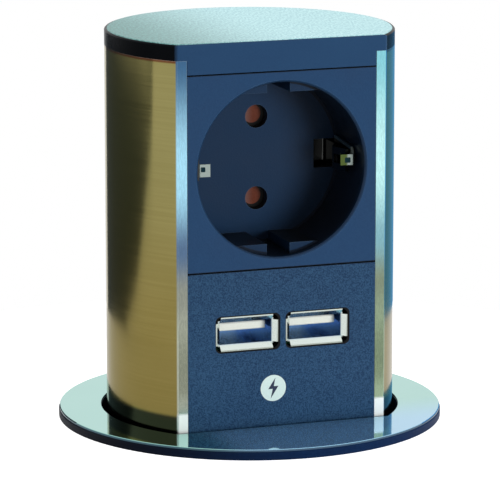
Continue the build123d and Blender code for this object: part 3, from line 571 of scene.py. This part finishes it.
@dataclass
class Sleeve:
    """The fixed sleeve: head under the polished ring, threaded barrel, seals, stop and bottom cap."""

    shade_left: float = -42.0
    chamfer_inner: float = 44.15
    chamfer_outer: float = 44.3

    def build(self) -> None:
        """Dresses the sleeve's nodes; painted shade darkens the head's rim to the left."""
        rim = FINISHES["head"].graph()
        # Painted shade: the head's rim darkens towards the left.
        rim.cover(rim.ramp("X", self.shade_left, 0.0, 0.85, 0.0), screen(4, 6, 10))
        paint(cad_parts["guide_head"], rim.material)
        dress("black", ["outer_sleeve", "bottom_cap"])
        dress("rubber", ["desk_gasket", "wiper_seal", "stop_bumper"])
        dress("zinc", ["head_screws", "bottom_screws"])
        paint(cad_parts["trim_ring"], self.mirror())

    def mirror(self) -> Material:
        """The ring's polish: a pale mirror, less metallic in front, with a painted blue reflection in front
        and painted shade on the chamfer.
        """
        g = FINISHES["ring"].graph()
        # Painted reflection: the ring turns bluer towards its front.
        front = g.times(g.ramp("Y", -8.0, -30.0), g.ramp("X", -23.0, -13.0))
        g.cover(front, screen(168, 216, 244))
        # Painted shade: a dark navy band on the ring's outer chamfer.
        squares = (g.math("POWER", g.axis(letter), 2.0) for letter in "XY")
        away = g.math("SQRT", g.math("ADD", *squares))
        chamfer = g.spread(away, self.chamfer_inner * MM, self.chamfer_outer * MM, 0.0, 0.85)
        g.cover(chamfer, screen(30, 52, 84))
        g.set(Metallic=g.math("SUBTRACT", 1.0, g.times(front, 0.24)))
        return g.material


@dataclass
class ClampNut:
    """The scalloped ring nut with a threaded bore, and the washer over it."""

    thread: Thread
    body: float = 44.785
    collar: float = 46.78
    top: float = -26.5
    low: float = -38.5
    collar_height: float = 1.5
    chamfer: float = 1.0
    bites: int = 12
    bite: float = 4.5
    reach: float = 47.685
    land: float = 38.285
    gap: float = 0.22
    ease: float = 0.3
    corner_share: float = 0.28
    sharp_degrees: float = 32.0
    columns: int = 480
    rows: int = 44

    def outer(self, angle: np.ndarray) -> np.ndarray:
        """Radius of the body: a circle with round bites.

        A bite of radius r with its centre at the reach takes the outline in to
        reach * cos(a) - sqrt(r * r - (reach * sin(a)) ** 2), a being the angle from the bite.
        """
        pitch = 2 * math.pi / self.bites
        off = (angle + pitch / 2) % pitch - pitch / 2
        inside = np.clip(self.bite ** 2 - (self.reach * np.sin(off)) ** 2, 0, None)
        bitten = self.reach * np.cos(off) - np.sqrt(inside)
        return np.where(inside > 0, np.minimum(self.body, bitten), self.body)

    def build(self) -> None:
        """Builds the nut as one closed outline carried round the axis, and dresses the washer."""
        angle = np.linspace(0, 2 * math.pi, self.columns, endpoint=False)
        outer = self.outer(angle)
        ease, skin = self.ease, self.chamfer
        neck = self.top - self.collar_height
        outline = [
            (np.full_like(angle, self.collar - ease), self.top),
            (np.full_like(angle, self.collar), self.top - ease),
            (np.full_like(angle, self.collar), neck + ease),
            (np.full_like(angle, self.collar - ease), neck),
            (outer, neck),
            (outer, neck - ease),
            (outer, (neck + self.low) / 2),
            (outer, self.low + skin),
            (outer - skin / 2, self.low + skin * self.corner_share),
            (outer - skin, self.low),
        ]
        heights = np.linspace(self.low, self.top, self.rows)
        bore = [(self.thread.groove(angle, np.full_like(angle, z), self.land, self.gap), z)
                for z in heights]
        rows = outline + bore
        radius = np.stack([row[0] for row in rows])
        z = np.array([row[1] for row in rows])[:, None]
        points = np.stack([radius * np.cos(angle), radius * np.sin(angle), z + 0 * radius], -1)
        faces = grid_faces(len(rows), self.columns, True, True).tolist()
        nut = outward(place_mesh("ring_nut", points.reshape(-1, 3), faces))
        nut.data.set_sharp_from_angle(angle=math.radians(self.sharp_degrees))
        paint(nut, shared("black"))
        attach(nut, Body.NUT.value)
        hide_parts("clamp_nut")
        LOG.info("ring_nut in place of clamp_nut")
        dress("steel", ["clamp_washer"])


class Works:
    """A sub-assembly out of sight, whose nodes take shared finishes."""

    finishes: dict[str, list[str]] = {}

    def build(self) -> None:
        """Dresses the nodes, a finish at a time."""
        for finish, nodes in self.finishes.items():
            dress(finish, nodes)


class GasSpring(Works):
    """The gas spring that lifts the column: rod on the sleeve, tube and bush on the column."""

    finishes = {"steel": ["gas_rod"], "zinc": ["rod_nut"], "tube": ["gas_tube"], "brass": ["gas_bush"]}


class HoldDownLatch(Works):
    """The latch that holds the column down: pawl on its bracket, striker on the foot."""

    finishes = {"steel": ["latch_bracket", "latch_pin", "latch_pawl", "latch_striker"],
                "zinc": ["striker_screws"], "spring": ["latch_spring"]}


class Foot(Works):
    """The column's foot: base plate, guide shoes and the blank plate under the inserts."""

    finishes = {"inner": ["base_plate"], "zinc": ["base_screws"], "shoe": ["guide_shoes"],
                "socket": ["foot_plate"]}


class CableEntry(Works):
    """The cable gland in the foot and the terminal block on the base plate."""

    finishes = {"gland": ["cable_gland", "gland_nut", "gland_dome"], "rubber": ["gland_seal"],
                "terminal": ["terminal_block"], "zinc": ["terminal_screws"]}


@dataclass
class Column:
    """The column: brushed profile with satin lips, a blue aproned cap with painted shade round its rim,
    speckled lid.
    """

    front: float = FRONT
    top: float = 87.1
    lid_shaded_end: float = -34.0
    lid_lit_end: float = 6.0
    # Painted reflection up the lips: low and high end of each change of tone, with the left and the right
    # lip's next tone
    lip_reflection_bands: tuple[tuple[float, float, Tint, Tint], ...] = (
        (23.0, 34.0, (150, 154, 142), (138, 152, 128)),
        (34.0, 44.0, (92, 118, 150), (138, 188, 198)),
        (44.0, 59.0, (172, 228, 252), (200, 252, 252)),
        (64.0, 87.0, (66, 106, 144), (140, 214, 226)),
    )

    def build(self) -> None:
        """Dresses the profile, the cap and the lid with its screws."""
        paint(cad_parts["column_profile"], self.profile())
        paint(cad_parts["top_cap"], self.cap())
        paint(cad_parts["lid_plate"], self.lid())
        dress("zinc", ["cap_screws"])
        LOG.info("column_profile, top_cap and lid_plate dressed")

    def profile(self) -> Material:
        """Champagne metal brushed round the column, with the front lips drawn along their length."""
        g = Graph("column_brush")
        around = g.noise(1.0, 3.0, g.stretched((26.0, 26.0, 2600.0)))
        along = g.noise(1.0, 3.0, g.stretched((5200.0, 5200.0, 900.0)))
        mix = g.weigh((around, 0.6), (g.noise(38.0, 2.0), 0.4))
        right = g.ramp("X", -10.0, 10.0)
        face = g.ramp("Y", self.front + 0.5, self.front + 0.15)
        foot = g.ramp("Z", 6.2, 7.0, 1.0, 0.0)
        # Painted highlight: the lips turn near white at their foot.
        lips = g.blend(foot, self.lips(g, along, right), screen(250, 255, 252))
        rubbed = g.times(g.edges(0.2), 0.3)
        # The painted highlight at the lips' foot is also made less metallic.
        highlight_foot = g.times(g.times(foot, face), 0.95)
        g.set(Base_Color=g.blend(rubbed, g.blend(face, self.side(g, mix), lips), screen(214, 226, 228)),
              Metallic=g.math("SUBTRACT", 1.0, highlight_foot),
              Roughness=g.level(mix, 0.12, 0.155),
              Normal=g.bump(g.blend(face, around, along), 0.00006),
              Specular_Tint=g.blend(g.math("MAXIMUM", face, right), screen(242, 240, 232), (1.0, 1.0, 1.0)),
              Anisotropic=0.6, Anisotropic_Rotation=0.25)
        tangent = g.add("ShaderNodeTangent", direction_type="RADIAL", axis="Z")
        g.feed(g.shader.inputs["Tangent"], tangent.outputs["Tangent"])
        return g.material

    def side(self, g: Graph, mix: Socket) -> Socket:
        """The round side's colour: painted shade makes it darker lower down and dark at its foot; rusty under
        the cap.
        """
        # Painted shade: the side darkens towards the bottom.
        rise = g.ramp("Z", 20.0, 70.0)
        deep = g.blend(rise, screen(130, 116, 62), screen(138, 130, 80))
        pale = g.blend(rise, screen(143, 129, 75), screen(151, 143, 92))
        rust = g.times(g.near("Z", self.top, 0.7), 0.8)
        colour = g.blend(rust, g.blend(g.level(mix, 0.2, 0.8), deep, pale), screen(96, 30, 22))
        # Painted shade: a dark band round the foot of the side.
        return g.blend(g.ramp("Z", 5.6, 6.6, 0.9, 0.0), colour, screen(34, 38, 34))

    def lips(self, g: Graph, along: Socket, right: Socket) -> Socket:
        """The lips' colour: bands of painted reflection, warm below, cool above, with fine streaks along
        them.
        """
        # Painted reflection: a start tone and bands of tone up the lips, different on the left and the right
        # lip.
        colour = g.blend(right, screen(184, 190, 172), screen(170, 192, 160))
        for low, high, left_tint, right_tint in self.lip_reflection_bands:
            tone = g.blend(right, screen(*left_tint), screen(*right_tint))
            colour = g.blend(g.ramp("Z", low, high), colour, tone)
        streak = g.spread(along, 0.35, 0.65, 0.0, 0.16)
        return g.blend(streak, colour, screen(70, 84, 96))

    def cap(self) -> Material:
        """Near black gloss round the rim from painted shade, slate blue spark grain on the flat front."""
        g = Graph("cap_moulding")
        grain = g.noise(2600.0, 2.0)
        cloud = g.noise(60.0, 3.0)
        front = g.ramp("Y", self.front + 0.7, self.front + 0.25)
        slate = g.blend(g.weigh((grain, 0.5), (cloud, 0.5)), screen(30, 60, 95), screen(42, 75, 110))
        # Painted shade: the cap's round rim is near black, the flat front keeps the slate blue.
        shade_black = g.blend(cloud, screen(6, 9, 13), screen(12, 16, 22))
        rubbed = g.times(g.edges(0.2), g.spread(cloud, 0.35, 0.65, 0.05, 0.3))
        g.set(Base_Color=g.blend(rubbed, g.blend(front, shade_black, slate), screen(74, 92, 112)),
              Roughness=g.spread(g.math("ADD", cloud, front), 0.3, 1.6, 0.26, 0.45),
              Normal=g.bump(grain, 0.016), Specular_IOR_Level=g.spread(front, 0.0, 1.0, 0.03, 0.18))
        return g.material

    def lid(self) -> Material:
        """Pale satin metal with a bead blasted speckle, with painted shade deeper at the left and a painted
        dark line along its edges.
        """
        g = Graph("lid_satin")
        speck = g.noise(1.0, 2.0, g.stretched((2500.0, 800.0, 2500.0)))
        cloud = g.noise(42.0, 3.0)
        mix = g.weigh((g.spread(speck, 0.36, 0.64, 0.0, 1.0), 0.8), (cloud, 0.2))
        # Painted shade: the lid darkens towards the left.
        across = g.ramp("X", self.lid_shaded_end, self.lid_lit_end)
        deep = g.blend(across, screen(70, 122, 118), screen(150, 208, 216))
        pale = g.blend(across, screen(134, 185, 181), screen(216, 250, 252))
        # Painted shade: a dark line along the lid's edges.
        rubbed = g.times(g.edges(0.15), 0.7)
        g.set(Base_Color=g.blend(rubbed, g.blend(mix, deep, pale), screen(62, 88, 100)),
              Metallic=1.0,
              Roughness=g.level(speck, 0.34, 0.5),
              Normal=g.bump(g.math("ADD", speck, g.times(g.pits(1300.0), 0.6)), 0.006))
        return g.material


@dataclass
class MainsSocket:
    """The mains insert: recess, shutter behind the pin holes and plated earth bow."""

    front: float = FRONT
    centre: float = 61.2
    half: float = 22.5
    pin_step: float = 9.5
    recess: float = 20.0
    contact_thickness: float = 0.55
    ribbon_steps: int = 8

    def build(self) -> None:
        """Dresses the insert's nodes and adds the earth contacts."""
        paint(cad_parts["socket_insert"], self.insert())
        paint(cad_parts["shutter"], self.shutter())
        bow = FINISHES["earth"].graph()
        # Painted shade: the CAD earth bow's plating is darkened nearly black so it sinks into the recess's
        # shade.
        bow.cover(0.93, screen(14, 18, 22))
        paint(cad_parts["earth_bow"], bow.material)
        dress("inner", ["socket_back"])
        dress("brass", ["live_contact", "neutral_contact"])
        dress("zinc", ["contact_screws"])
        self.contacts()

    def insert(self) -> Material:
        """Blue grain, with painted shade in the recess, on its shelves and at its rim, and darker along the
        face's seams.
        """
        g = FINISHES["socket"].graph()
        middle = (0.0, self.centre)
        # Painted shade: the recess darkens with depth, its walls more than its floor.
        depth = g.ramp("Y", self.front + 0.4, self.front + 2.5)
        wall = g.inside(middle, (0.0, 0.0), self.recess - 0.6)
        g.cover(g.times(depth, g.spread(wall, 0.0, 1.0, 0.85, 0.55)), screen(2, 7, 18))
        # Painted shade: faces that look up inside the recess are near black.
        g.cover(g.times(depth, g.upward(0.25, 0.7)), screen(2, 3, 5))
        # Painted shade: a dark line round the recess's rim.
        rim = g.math("SUBTRACT", g.inside(middle, (0.0, 0.0), self.recess + 0.28), wall)
        g.cover(g.times(rim, 0.5), screen(6, 14, 26))
        for seam in (self.centre - self.half, self.centre + self.half):
            g.cover(g.near("Z", seam, 0.34), screen(12, 22, 36))
        return g.material

    def shutter(self) -> Material:
        """Brown where the pin holes show it, with a painted highlight at their left and painted shade, near
        black, elsewhere.
        """
        g = FINISHES["shutter"].graph()
        discs = (g.inside((-0.35, self.centre + side * self.pin_step + 0.35), (0.0, 0.0), 2.2)
                 for side in (-1, 1))
        shown = g.math("MAXIMUM", *discs)
        # Painted highlight: the discs turn lighter and greyer towards their left.
        g.cover(g.ramp("X", -2.4, 0.2, 0.75, 0.0), screen(112, 84, 80))
        g.cover(g.ramp("X", -2.6, -1.8, 0.8, 0.0), screen(128, 140, 122))
        # Painted shade: near black outside the discs, where the holes' walls fall in shade.
        g.cover(g.math("SUBTRACT", 1.0, shown), screen(8, 8, 8))
        return g.material

    def plating(self) -> Material:
        """Nickel with an olive edge, a dark window of painted shade in each face and, at the right, a dark
        arm of painted shade with a painted highlight along its top.
        """
        g = FINISHES["earth"].graph()
        g.set(Metallic=0.5, Specular_Tint=screen(120, 130, 130))
        g.cover(0.6, screen(120, 150, 146))
        g.cover(g.near("X", 16.5, 1.3), screen(84, 100, 50))
        windows = (((17.55, self.centre + 0.4), (0.45, 0.4)), ((-16.2, self.centre - 0.3), (0.3, 0.35)))
        # Painted shade: a dark window on each contact face.
        for middle, half in windows:
            g.cover(g.inside(middle, half, 0.25), screen(16, 44, 52))
        # Painted shade on the right arm, with a painted highlight along its sloping top edge.
        arm = g.times(g.ramp("Y", -16.0, -15.5), g.ramp("X", 0.0, 1.0))
        slope = g.times(g.math("ADD", g.axis("Y"), 15.7 * MM), 0.10)
        line = g.math("SUBTRACT", g.axis("Z"), slope)
        strip = g.spread(line, (self.centre + 2.35) * MM, (self.centre + 2.7) * MM, 0.0, 1.0)
        g.cover(arm, g.blend(strip, screen(3, 5, 8), screen(104, 132, 152)))
        return g.material

    def contacts(self) -> None:
        """The earth bow's folded contact faces, one each side of the recess, with their arms."""
        routes = {
            "earth_contact_right": [(15.9, -17.0, -0.75, 1.7), (18.7, -17.3, -0.75, 1.7),
                                    (19.0, -16.9, -0.7, 1.7), (19.1, -15.9, -0.6, 3.1),
                                    (19.1, -5.4, -1.0, 4.2)],
            "earth_contact_left": [(-14.5, -14.3, -2.0, 0.9), (-16.8, -14.1, -2.0, 0.9),
                                   (-18.4, -13.0, -2.2, 1.2), (-18.9, -11.5, -2.3, 1.6),
                                   (-19.0, -5.4, -2.3, 2.2)],
        }
        plating = self.plating()
        for name, route in routes.items():
            contact = self.ribbon(name, np.array(route))
            paint(contact, plating)
            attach(contact, Body.COLUMN.value)
            LOG.info("%s in the recess", name)

    def ribbon(self, name: str, route: np.ndarray) -> Piece:
        """A strip bent along a route in plan, whose lower and upper edge vary.

        The strip's faces lie half a thickness off the route along its plan normal (-dy, dx) / |d|.

        Args:
            name: The object's name.
            route: Rows of X, Y, lower and upper edge from the socket's centre, in millimetres.

        Returns:
            The closed strip.
        """
        steps = np.linspace(0, len(route) - 1, self.ribbon_steps * (len(route) - 1) + 1)
        fine = np.stack([np.interp(steps, np.arange(len(route)), column) for column in route.T], -1)
        way = np.gradient(fine[:, :2], axis=0)
        normal = np.stack([-way[:, 1], way[:, 0]], -1) / np.linalg.norm(way, axis=1)[:, None]
        off = normal * self.contact_thickness / 2
        rows = [np.column_stack([fine[:, :2] + side * off, self.centre + fine[:, edge]])
                for side, edge in ((1, 2), (1, 3), (-1, 3), (-1, 2))]
        points = np.stack(rows, 1).reshape(-1, 3)
        faces = grid_faces(len(fine), 4, False, True).tolist()
        last = 4 * len(fine) - 4
        faces += [[3, 2, 1, 0], [last, last + 1, last + 2, last + 3]]
        return outward(place_mesh(name, points, faces, smooth=False))


@dataclass
class ShutterSpring:
    """The wire spring between the shutter and its seat; the real one closes up as the shutter slides, this
    one keeps one length.
    """

    turns: int = 8
    wire: float = 0.15
    steps: int = 24
    round: int = 10
    node: str = "shutter_spring"

    def build(self) -> None:
        """Winds the spring in the place of its node, along X.

        With t from 0 to 1 the wire's middle is at (x0 + L t, y0 + r cos w, z0 + r sin w), w being
        2 pi turns t. Its surface lies a wire's radius off along n cos p + b sin p, with n pointing
        from the axis and b square to n and to the wire.
        """
        low, high = (np.array(corner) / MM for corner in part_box(self.node))
        middle = (low + high) / 2
        coil = (high[2] - low[2]) / 2 - self.wire
        start, length = low[0] + self.wire, high[0] - low[0] - 2 * self.wire
        share = np.linspace(0, 1, self.turns * self.steps + 1)
        turn = 2 * math.pi * self.turns * share
        out = np.stack([0 * turn, np.cos(turn), np.sin(turn)], -1)
        line = np.stack([start + length * share, middle[1] + coil * out[:, 1],
                         middle[2] + coil * out[:, 2]], -1)
        way = np.gradient(line, axis=0)
        side = np.cross(way, out)
        side /= np.linalg.norm(side, axis=1)[:, None]
        p = np.linspace(0, 2 * math.pi, self.round, endpoint=False)[:, None]
        rows = line[:, None] + self.wire * (np.cos(p) * out[:, None] + np.sin(p) * side[:, None])
        faces = grid_faces(len(line), self.round, False, True).tolist()
        last = self.round * (len(line) - 1)
        faces += [list(range(self.round))[::-1], list(range(last, last + self.round))]
        spring = outward(place_mesh("return_spring", rows.reshape(-1, 3), faces))
        paint(spring, shared("spring"))
        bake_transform(spring)
        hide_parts(self.node)
        LOG.info("return_spring in place of %s", self.node)


@dataclass
class ChargingInsert:
    """The charging insert: two ports, the works behind them and a plain printed charging sign."""

    front: float = FRONT
    top: float = 38.7
    port_step: float = 8.4
    port_z: float = 24.25
    sign_x: float = -2.13
    sign_z: float = 10.95
    sign_radius: float = 3.05
    print_height: float = 0.02
    mouth_half: tuple[float, float] = (6.45, 2.95)
    mouth_round: float = 1.35
    sign_points: int = 72

    def build(self) -> None:
        """Dresses the insert's nodes and prints the sign."""
        plate = FINISHES["charging"].graph()
        # Painted shade: near black round each port's opening.
        for side in (-1, 1):
            middle = (side * self.port_step + 0.2, self.port_z - 0.05)
            plate.cover(plate.inside(middle, self.mouth_half, self.mouth_round), screen(5, 6, 8))
        plate.cover(plate.near("Z", self.top, 0.3), screen(12, 22, 36))
        paint(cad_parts["usb_fascia"], plate.material)
        shell = FINISHES["shell"].graph()
        # Painted shade inside the shell: bluish and darker towards its top.
        inner = shell.blend(shell.ramp("Z", 22.0, 26.0), screen(150, 186, 226), screen(84, 118, 170))
        shell.cover(shell.ramp("Y", self.front + 0.9, self.front + 1.6), inner)
        for side in ("left", "right"):
            paint(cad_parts["usb_shell_" + side], shell.material)
        dress("tongue", ["usb_tongue_left", "usb_tongue_right"])
        dress("gold", ["usb_contacts"])
        dress("board", ["usb_board"])
        dress("winding", ["transformer"])
        dress("can", ["capacitors"])
        dress("inner", ["usb_cover"])
        self.sign()

    def sign(self) -> None:
        """A white disc with a plain bolt, each a printed film on the fascia."""
        turn = np.linspace(0, 2 * math.pi, self.sign_points, endpoint=False)
        centre = np.array([self.sign_x, self.sign_z])
        disc = centre + self.sign_radius * np.stack([np.cos(turn), np.sin(turn)], -1)
        bolt_shares = np.array([(0.16, 0.78), (-0.40, -0.06), (-0.05, -0.06), (-0.20, -0.78),
                                (0.40, 0.14), (0.04, 0.14)])
        bolt = centre + self.sign_radius * bolt_shares
        white = self.film("sign_white", screen(208, 226, 220), screen(222, 240, 234))
        ink = self.film("sign_ink", screen(30, 40, 62), screen(44, 54, 78))
        for name, outline, height, material in (("sign_disc", disc, self.print_height, white),
                                                ("sign_bolt", bolt, 2 * self.print_height, ink)):
            film = prism(name, outline, self.front - height, self.front + self.print_height)
            paint(film, material)
            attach(film, Body.COLUMN.value)
            LOG.info("%s on the charging insert", name)

    def film(self, name: str, colour: Colour, tone: Colour) -> Material:
        """Printing ink, a little uneven, that lets the plate's grain show."""
        g = Graph(name)
        grain = g.noise(2200.0, 2.0)
        g.set(Base_Color=g.blend(grain, colour, tone), Roughness=g.level(grain, 0.4, 0.55),
              Normal=g.bump(grain, 0.01))
        return g.material


@dataclass
class Studio:
    """A round piece of worktop, soft light, flags for the metal and the photograph's camera."""

    slab_radius: float = 126.0
    slab_hole: float = 40.0
    slab_depth: float = 25.0
    slab_ease: float = 1.2
    columns: int = 128
    camera_glow: float = 0.92
    mirror_glow: float = 0.42
    room_light: float = 0.09
    seen_light: float = 1.0
    azimuth: float = -19.551
    elevation: float = 11.681
    distance: float = 844.6
    aim: tuple[float, float] = (0.129, 37.724)
    focal_pixels: float = 3611.0
    picture_pixels: float = 500.0
    sensor: float = 36.0

    def build(self) -> None:
        """Builds the worktop, the lights and the camera."""
        self.worktop()
        self.flags()
        self.world()
        self.lamps()
        self.camera()

    def worktop(self) -> None:
        """The worktop: a rounded outline carried round the axis, from the hole to the rim."""
        ease, depth = self.slab_ease, self.slab_depth
        outline = np.array([
            (self.slab_hole, -depth), (self.slab_hole, 0.0), (self.slab_radius - ease, 0.0),
            (self.slab_radius - 0.3 * ease, -0.3 * ease), (self.slab_radius, -ease),
            (self.slab_radius, ease - depth), (self.slab_radius - ease, -depth),
        ])
        angle = np.linspace(0, 2 * math.pi, self.columns, endpoint=False)
        radius = outline[:, :1]
        points = np.stack([radius * np.cos(angle), radius * np.sin(angle), outline[:, 1:] + 0 * angle], -1)
        faces = grid_faces(len(outline), self.columns, True, True).tolist()
        slab = outward(place_mesh("worktop", points.reshape(-1, 3), faces, smooth=False))
        paint(slab, self.worktop_white())

    def worktop_white(self) -> Material:
        """White laminate whose upward face glows for the camera and, less, in mirrors."""
        g = Graph("worktop_white")
        g.set(Base_Color=screen(238, 238, 238), Roughness=0.9, Specular_IOR_Level=0.0)
        path = g.add("ShaderNodeLightPath")
        mirrored = g.math("MAXIMUM", path.outputs["Is Glossy Ray"], path.outputs["Is Transmission Ray"])
        glow = g.weigh((path.outputs["Is Camera Ray"], self.camera_glow), (mirrored, self.mirror_glow))
        g.set(Emission_Strength=g.times(glow, g.upward(0.3, 0.9)),
              Emission_Color=(1.0, 1.0, 1.0))
        return g.material

    def flags(self) -> None:
        """Cards that only the metal mirrors: a dark one, a blue one, and a grey one on the worktop."""
        cards = {
            "flag_left": ([(-35, 152, -21), (-134, 136.4, -19), (-247, 118.5, -19), (-358, 101, -10),
                           (-467, 83.7, -8), (-500, 78.5, 5), (-500, 78.5, 22), (-358, 101, 34),
                           (-247, 118.5, 52), (-35, 152, 78)], (0.078, 0.094, 0.110)),
            "flag_right": ([(150, 30, -60), (150, 360, -60), (150, 360, 50), (150, 275, 56), (150, 150, 78),
                            (150, 30, 92)], (0.12, 0.40, 0.75)),
            "flag_floor": ([(-40, -60, 0.5), (110, -60, 0.5), (110, -124, 0.5), (-40, -124, 0.5)],
                           (0.5, 0.5, 0.46)),
        }
        for name, (corners, colour) in cards.items():
            card = place_mesh(name, np.array(corners, float), [range(len(corners))], smooth=False)
            g = Graph(name + "_card")
            g.set(Base_Color=(0.0, 0.0, 0.0), Roughness=1.0, Specular_IOR_Level=0.0,
                  Emission_Color=colour, Emission_Strength=1.0)
            paint(card, g.material)
            for ray in ("camera", "diffuse", "shadow", "transmission"):
                setattr(card, "visible_" + ray, False)

    def world(self) -> None:
        """A soft grey room that the camera, mirrors and glass see as white."""
        world = bpy.data.worlds.new("soft_room")
        bpy.context.scene.world = world
        world.use_nodes = True
        tree = world.node_tree
        tree.nodes.clear()
        kinds = ("OutputWorld", "MixShader", "LightPath", "Math", "Math")
        out, mix, path, first, second = (tree.nodes.new("ShaderNode" + kind) for kind in kinds)
        first.operation = second.operation = "MAXIMUM"
        tree.links.new(path.outputs["Is Camera Ray"], first.inputs[0])
        tree.links.new(path.outputs["Is Glossy Ray"], first.inputs[1])
        tree.links.new(first.outputs[0], second.inputs[0])
        tree.links.new(path.outputs["Is Transmission Ray"], second.inputs[1])
        tree.links.new(second.outputs[0], mix.inputs[0])
        for index, strength in ((1, self.room_light), (2, self.seen_light)):
            light = tree.nodes.new("ShaderNodeBackground")
            light.inputs["Color"].default_value = (1.0, 1.0, 1.0, 1.0)
            light.inputs["Strength"].default_value = strength
            tree.links.new(light.outputs[0], mix.inputs[index])
        tree.links.new(mix.outputs[0], out.inputs["Surface"])

    def lamps(self) -> None:
        """Soft boxes: a key from the front right, a weak fill from the left, one above, one behind."""
        target = Vector((0, 0, 0.02))
        for name, place, size, power in (
            ("key", (0.47, -0.88, 0.07), 0.42, 8.6),
            ("fill", (-0.80, -0.55, 0.35), 0.6, 0.5),
            ("top", (0.05, 0.10, 1.0), 0.7, 3.5),
            ("back", (0.25, 0.95, 0.45), 0.6, 3.0),
        ):
            light = bpy.data.lights.new(name, "AREA")
            light.shape = "DISK"
            light.size = size
            light.energy = power
            lamp = bpy.data.objects.new(name, light)
            lamp.location = place
            lamp.rotation_euler = (target - Vector(place)).to_track_quat("-Z", "Y").to_euler()
            lamp.visible_glossy = False
            bpy.context.scene.collection.objects.link(lamp)

    def camera(self) -> None:
        """The photograph's camera, to the front left and a little above."""
        azimuth, elevation = math.radians(self.azimuth), math.radians(self.elevation)
        back = Vector((math.sin(azimuth) * math.cos(elevation), -math.cos(azimuth) * math.cos(elevation),
                       math.sin(elevation)))
        turn = (-back).to_track_quat("-Z", "Y").to_matrix()
        data = bpy.data.cameras.new("photo_camera")
        data.sensor_width = self.sensor
        data.lens = self.focal_pixels / self.picture_pixels * self.sensor
        data.clip_start, data.clip_end = 0.01, 20.0
        camera = bpy.data.objects.new("photo_camera", data)
        aim = turn @ Vector((*self.aim, 0.0)) * MM
        camera.matrix_world = Matrix.Translation(aim + back * self.distance * MM) @ turn.to_4x4()
        bpy.context.scene.collection.objects.link(camera)
        bpy.context.scene.camera = camera


def main() -> None:
    """Builds and dresses the sub-assemblies in order."""
    logging.basicConfig(level=logging.INFO, format="%(name)s: %(message)s")
    bpy.context.scene.view_settings.view_transform = "Standard"
    for part in (Sleeve(), ClampNut(Thread()), GasSpring(), HoldDownLatch(), Foot(), CableEntry(),
                 Column(), MainsSocket(), ShutterSpring(), ChargingInsert(), Studio()):
        part.build()
        LOG.info("%s built", type(part).__name__)


if __name__ == "__main__":
    main()
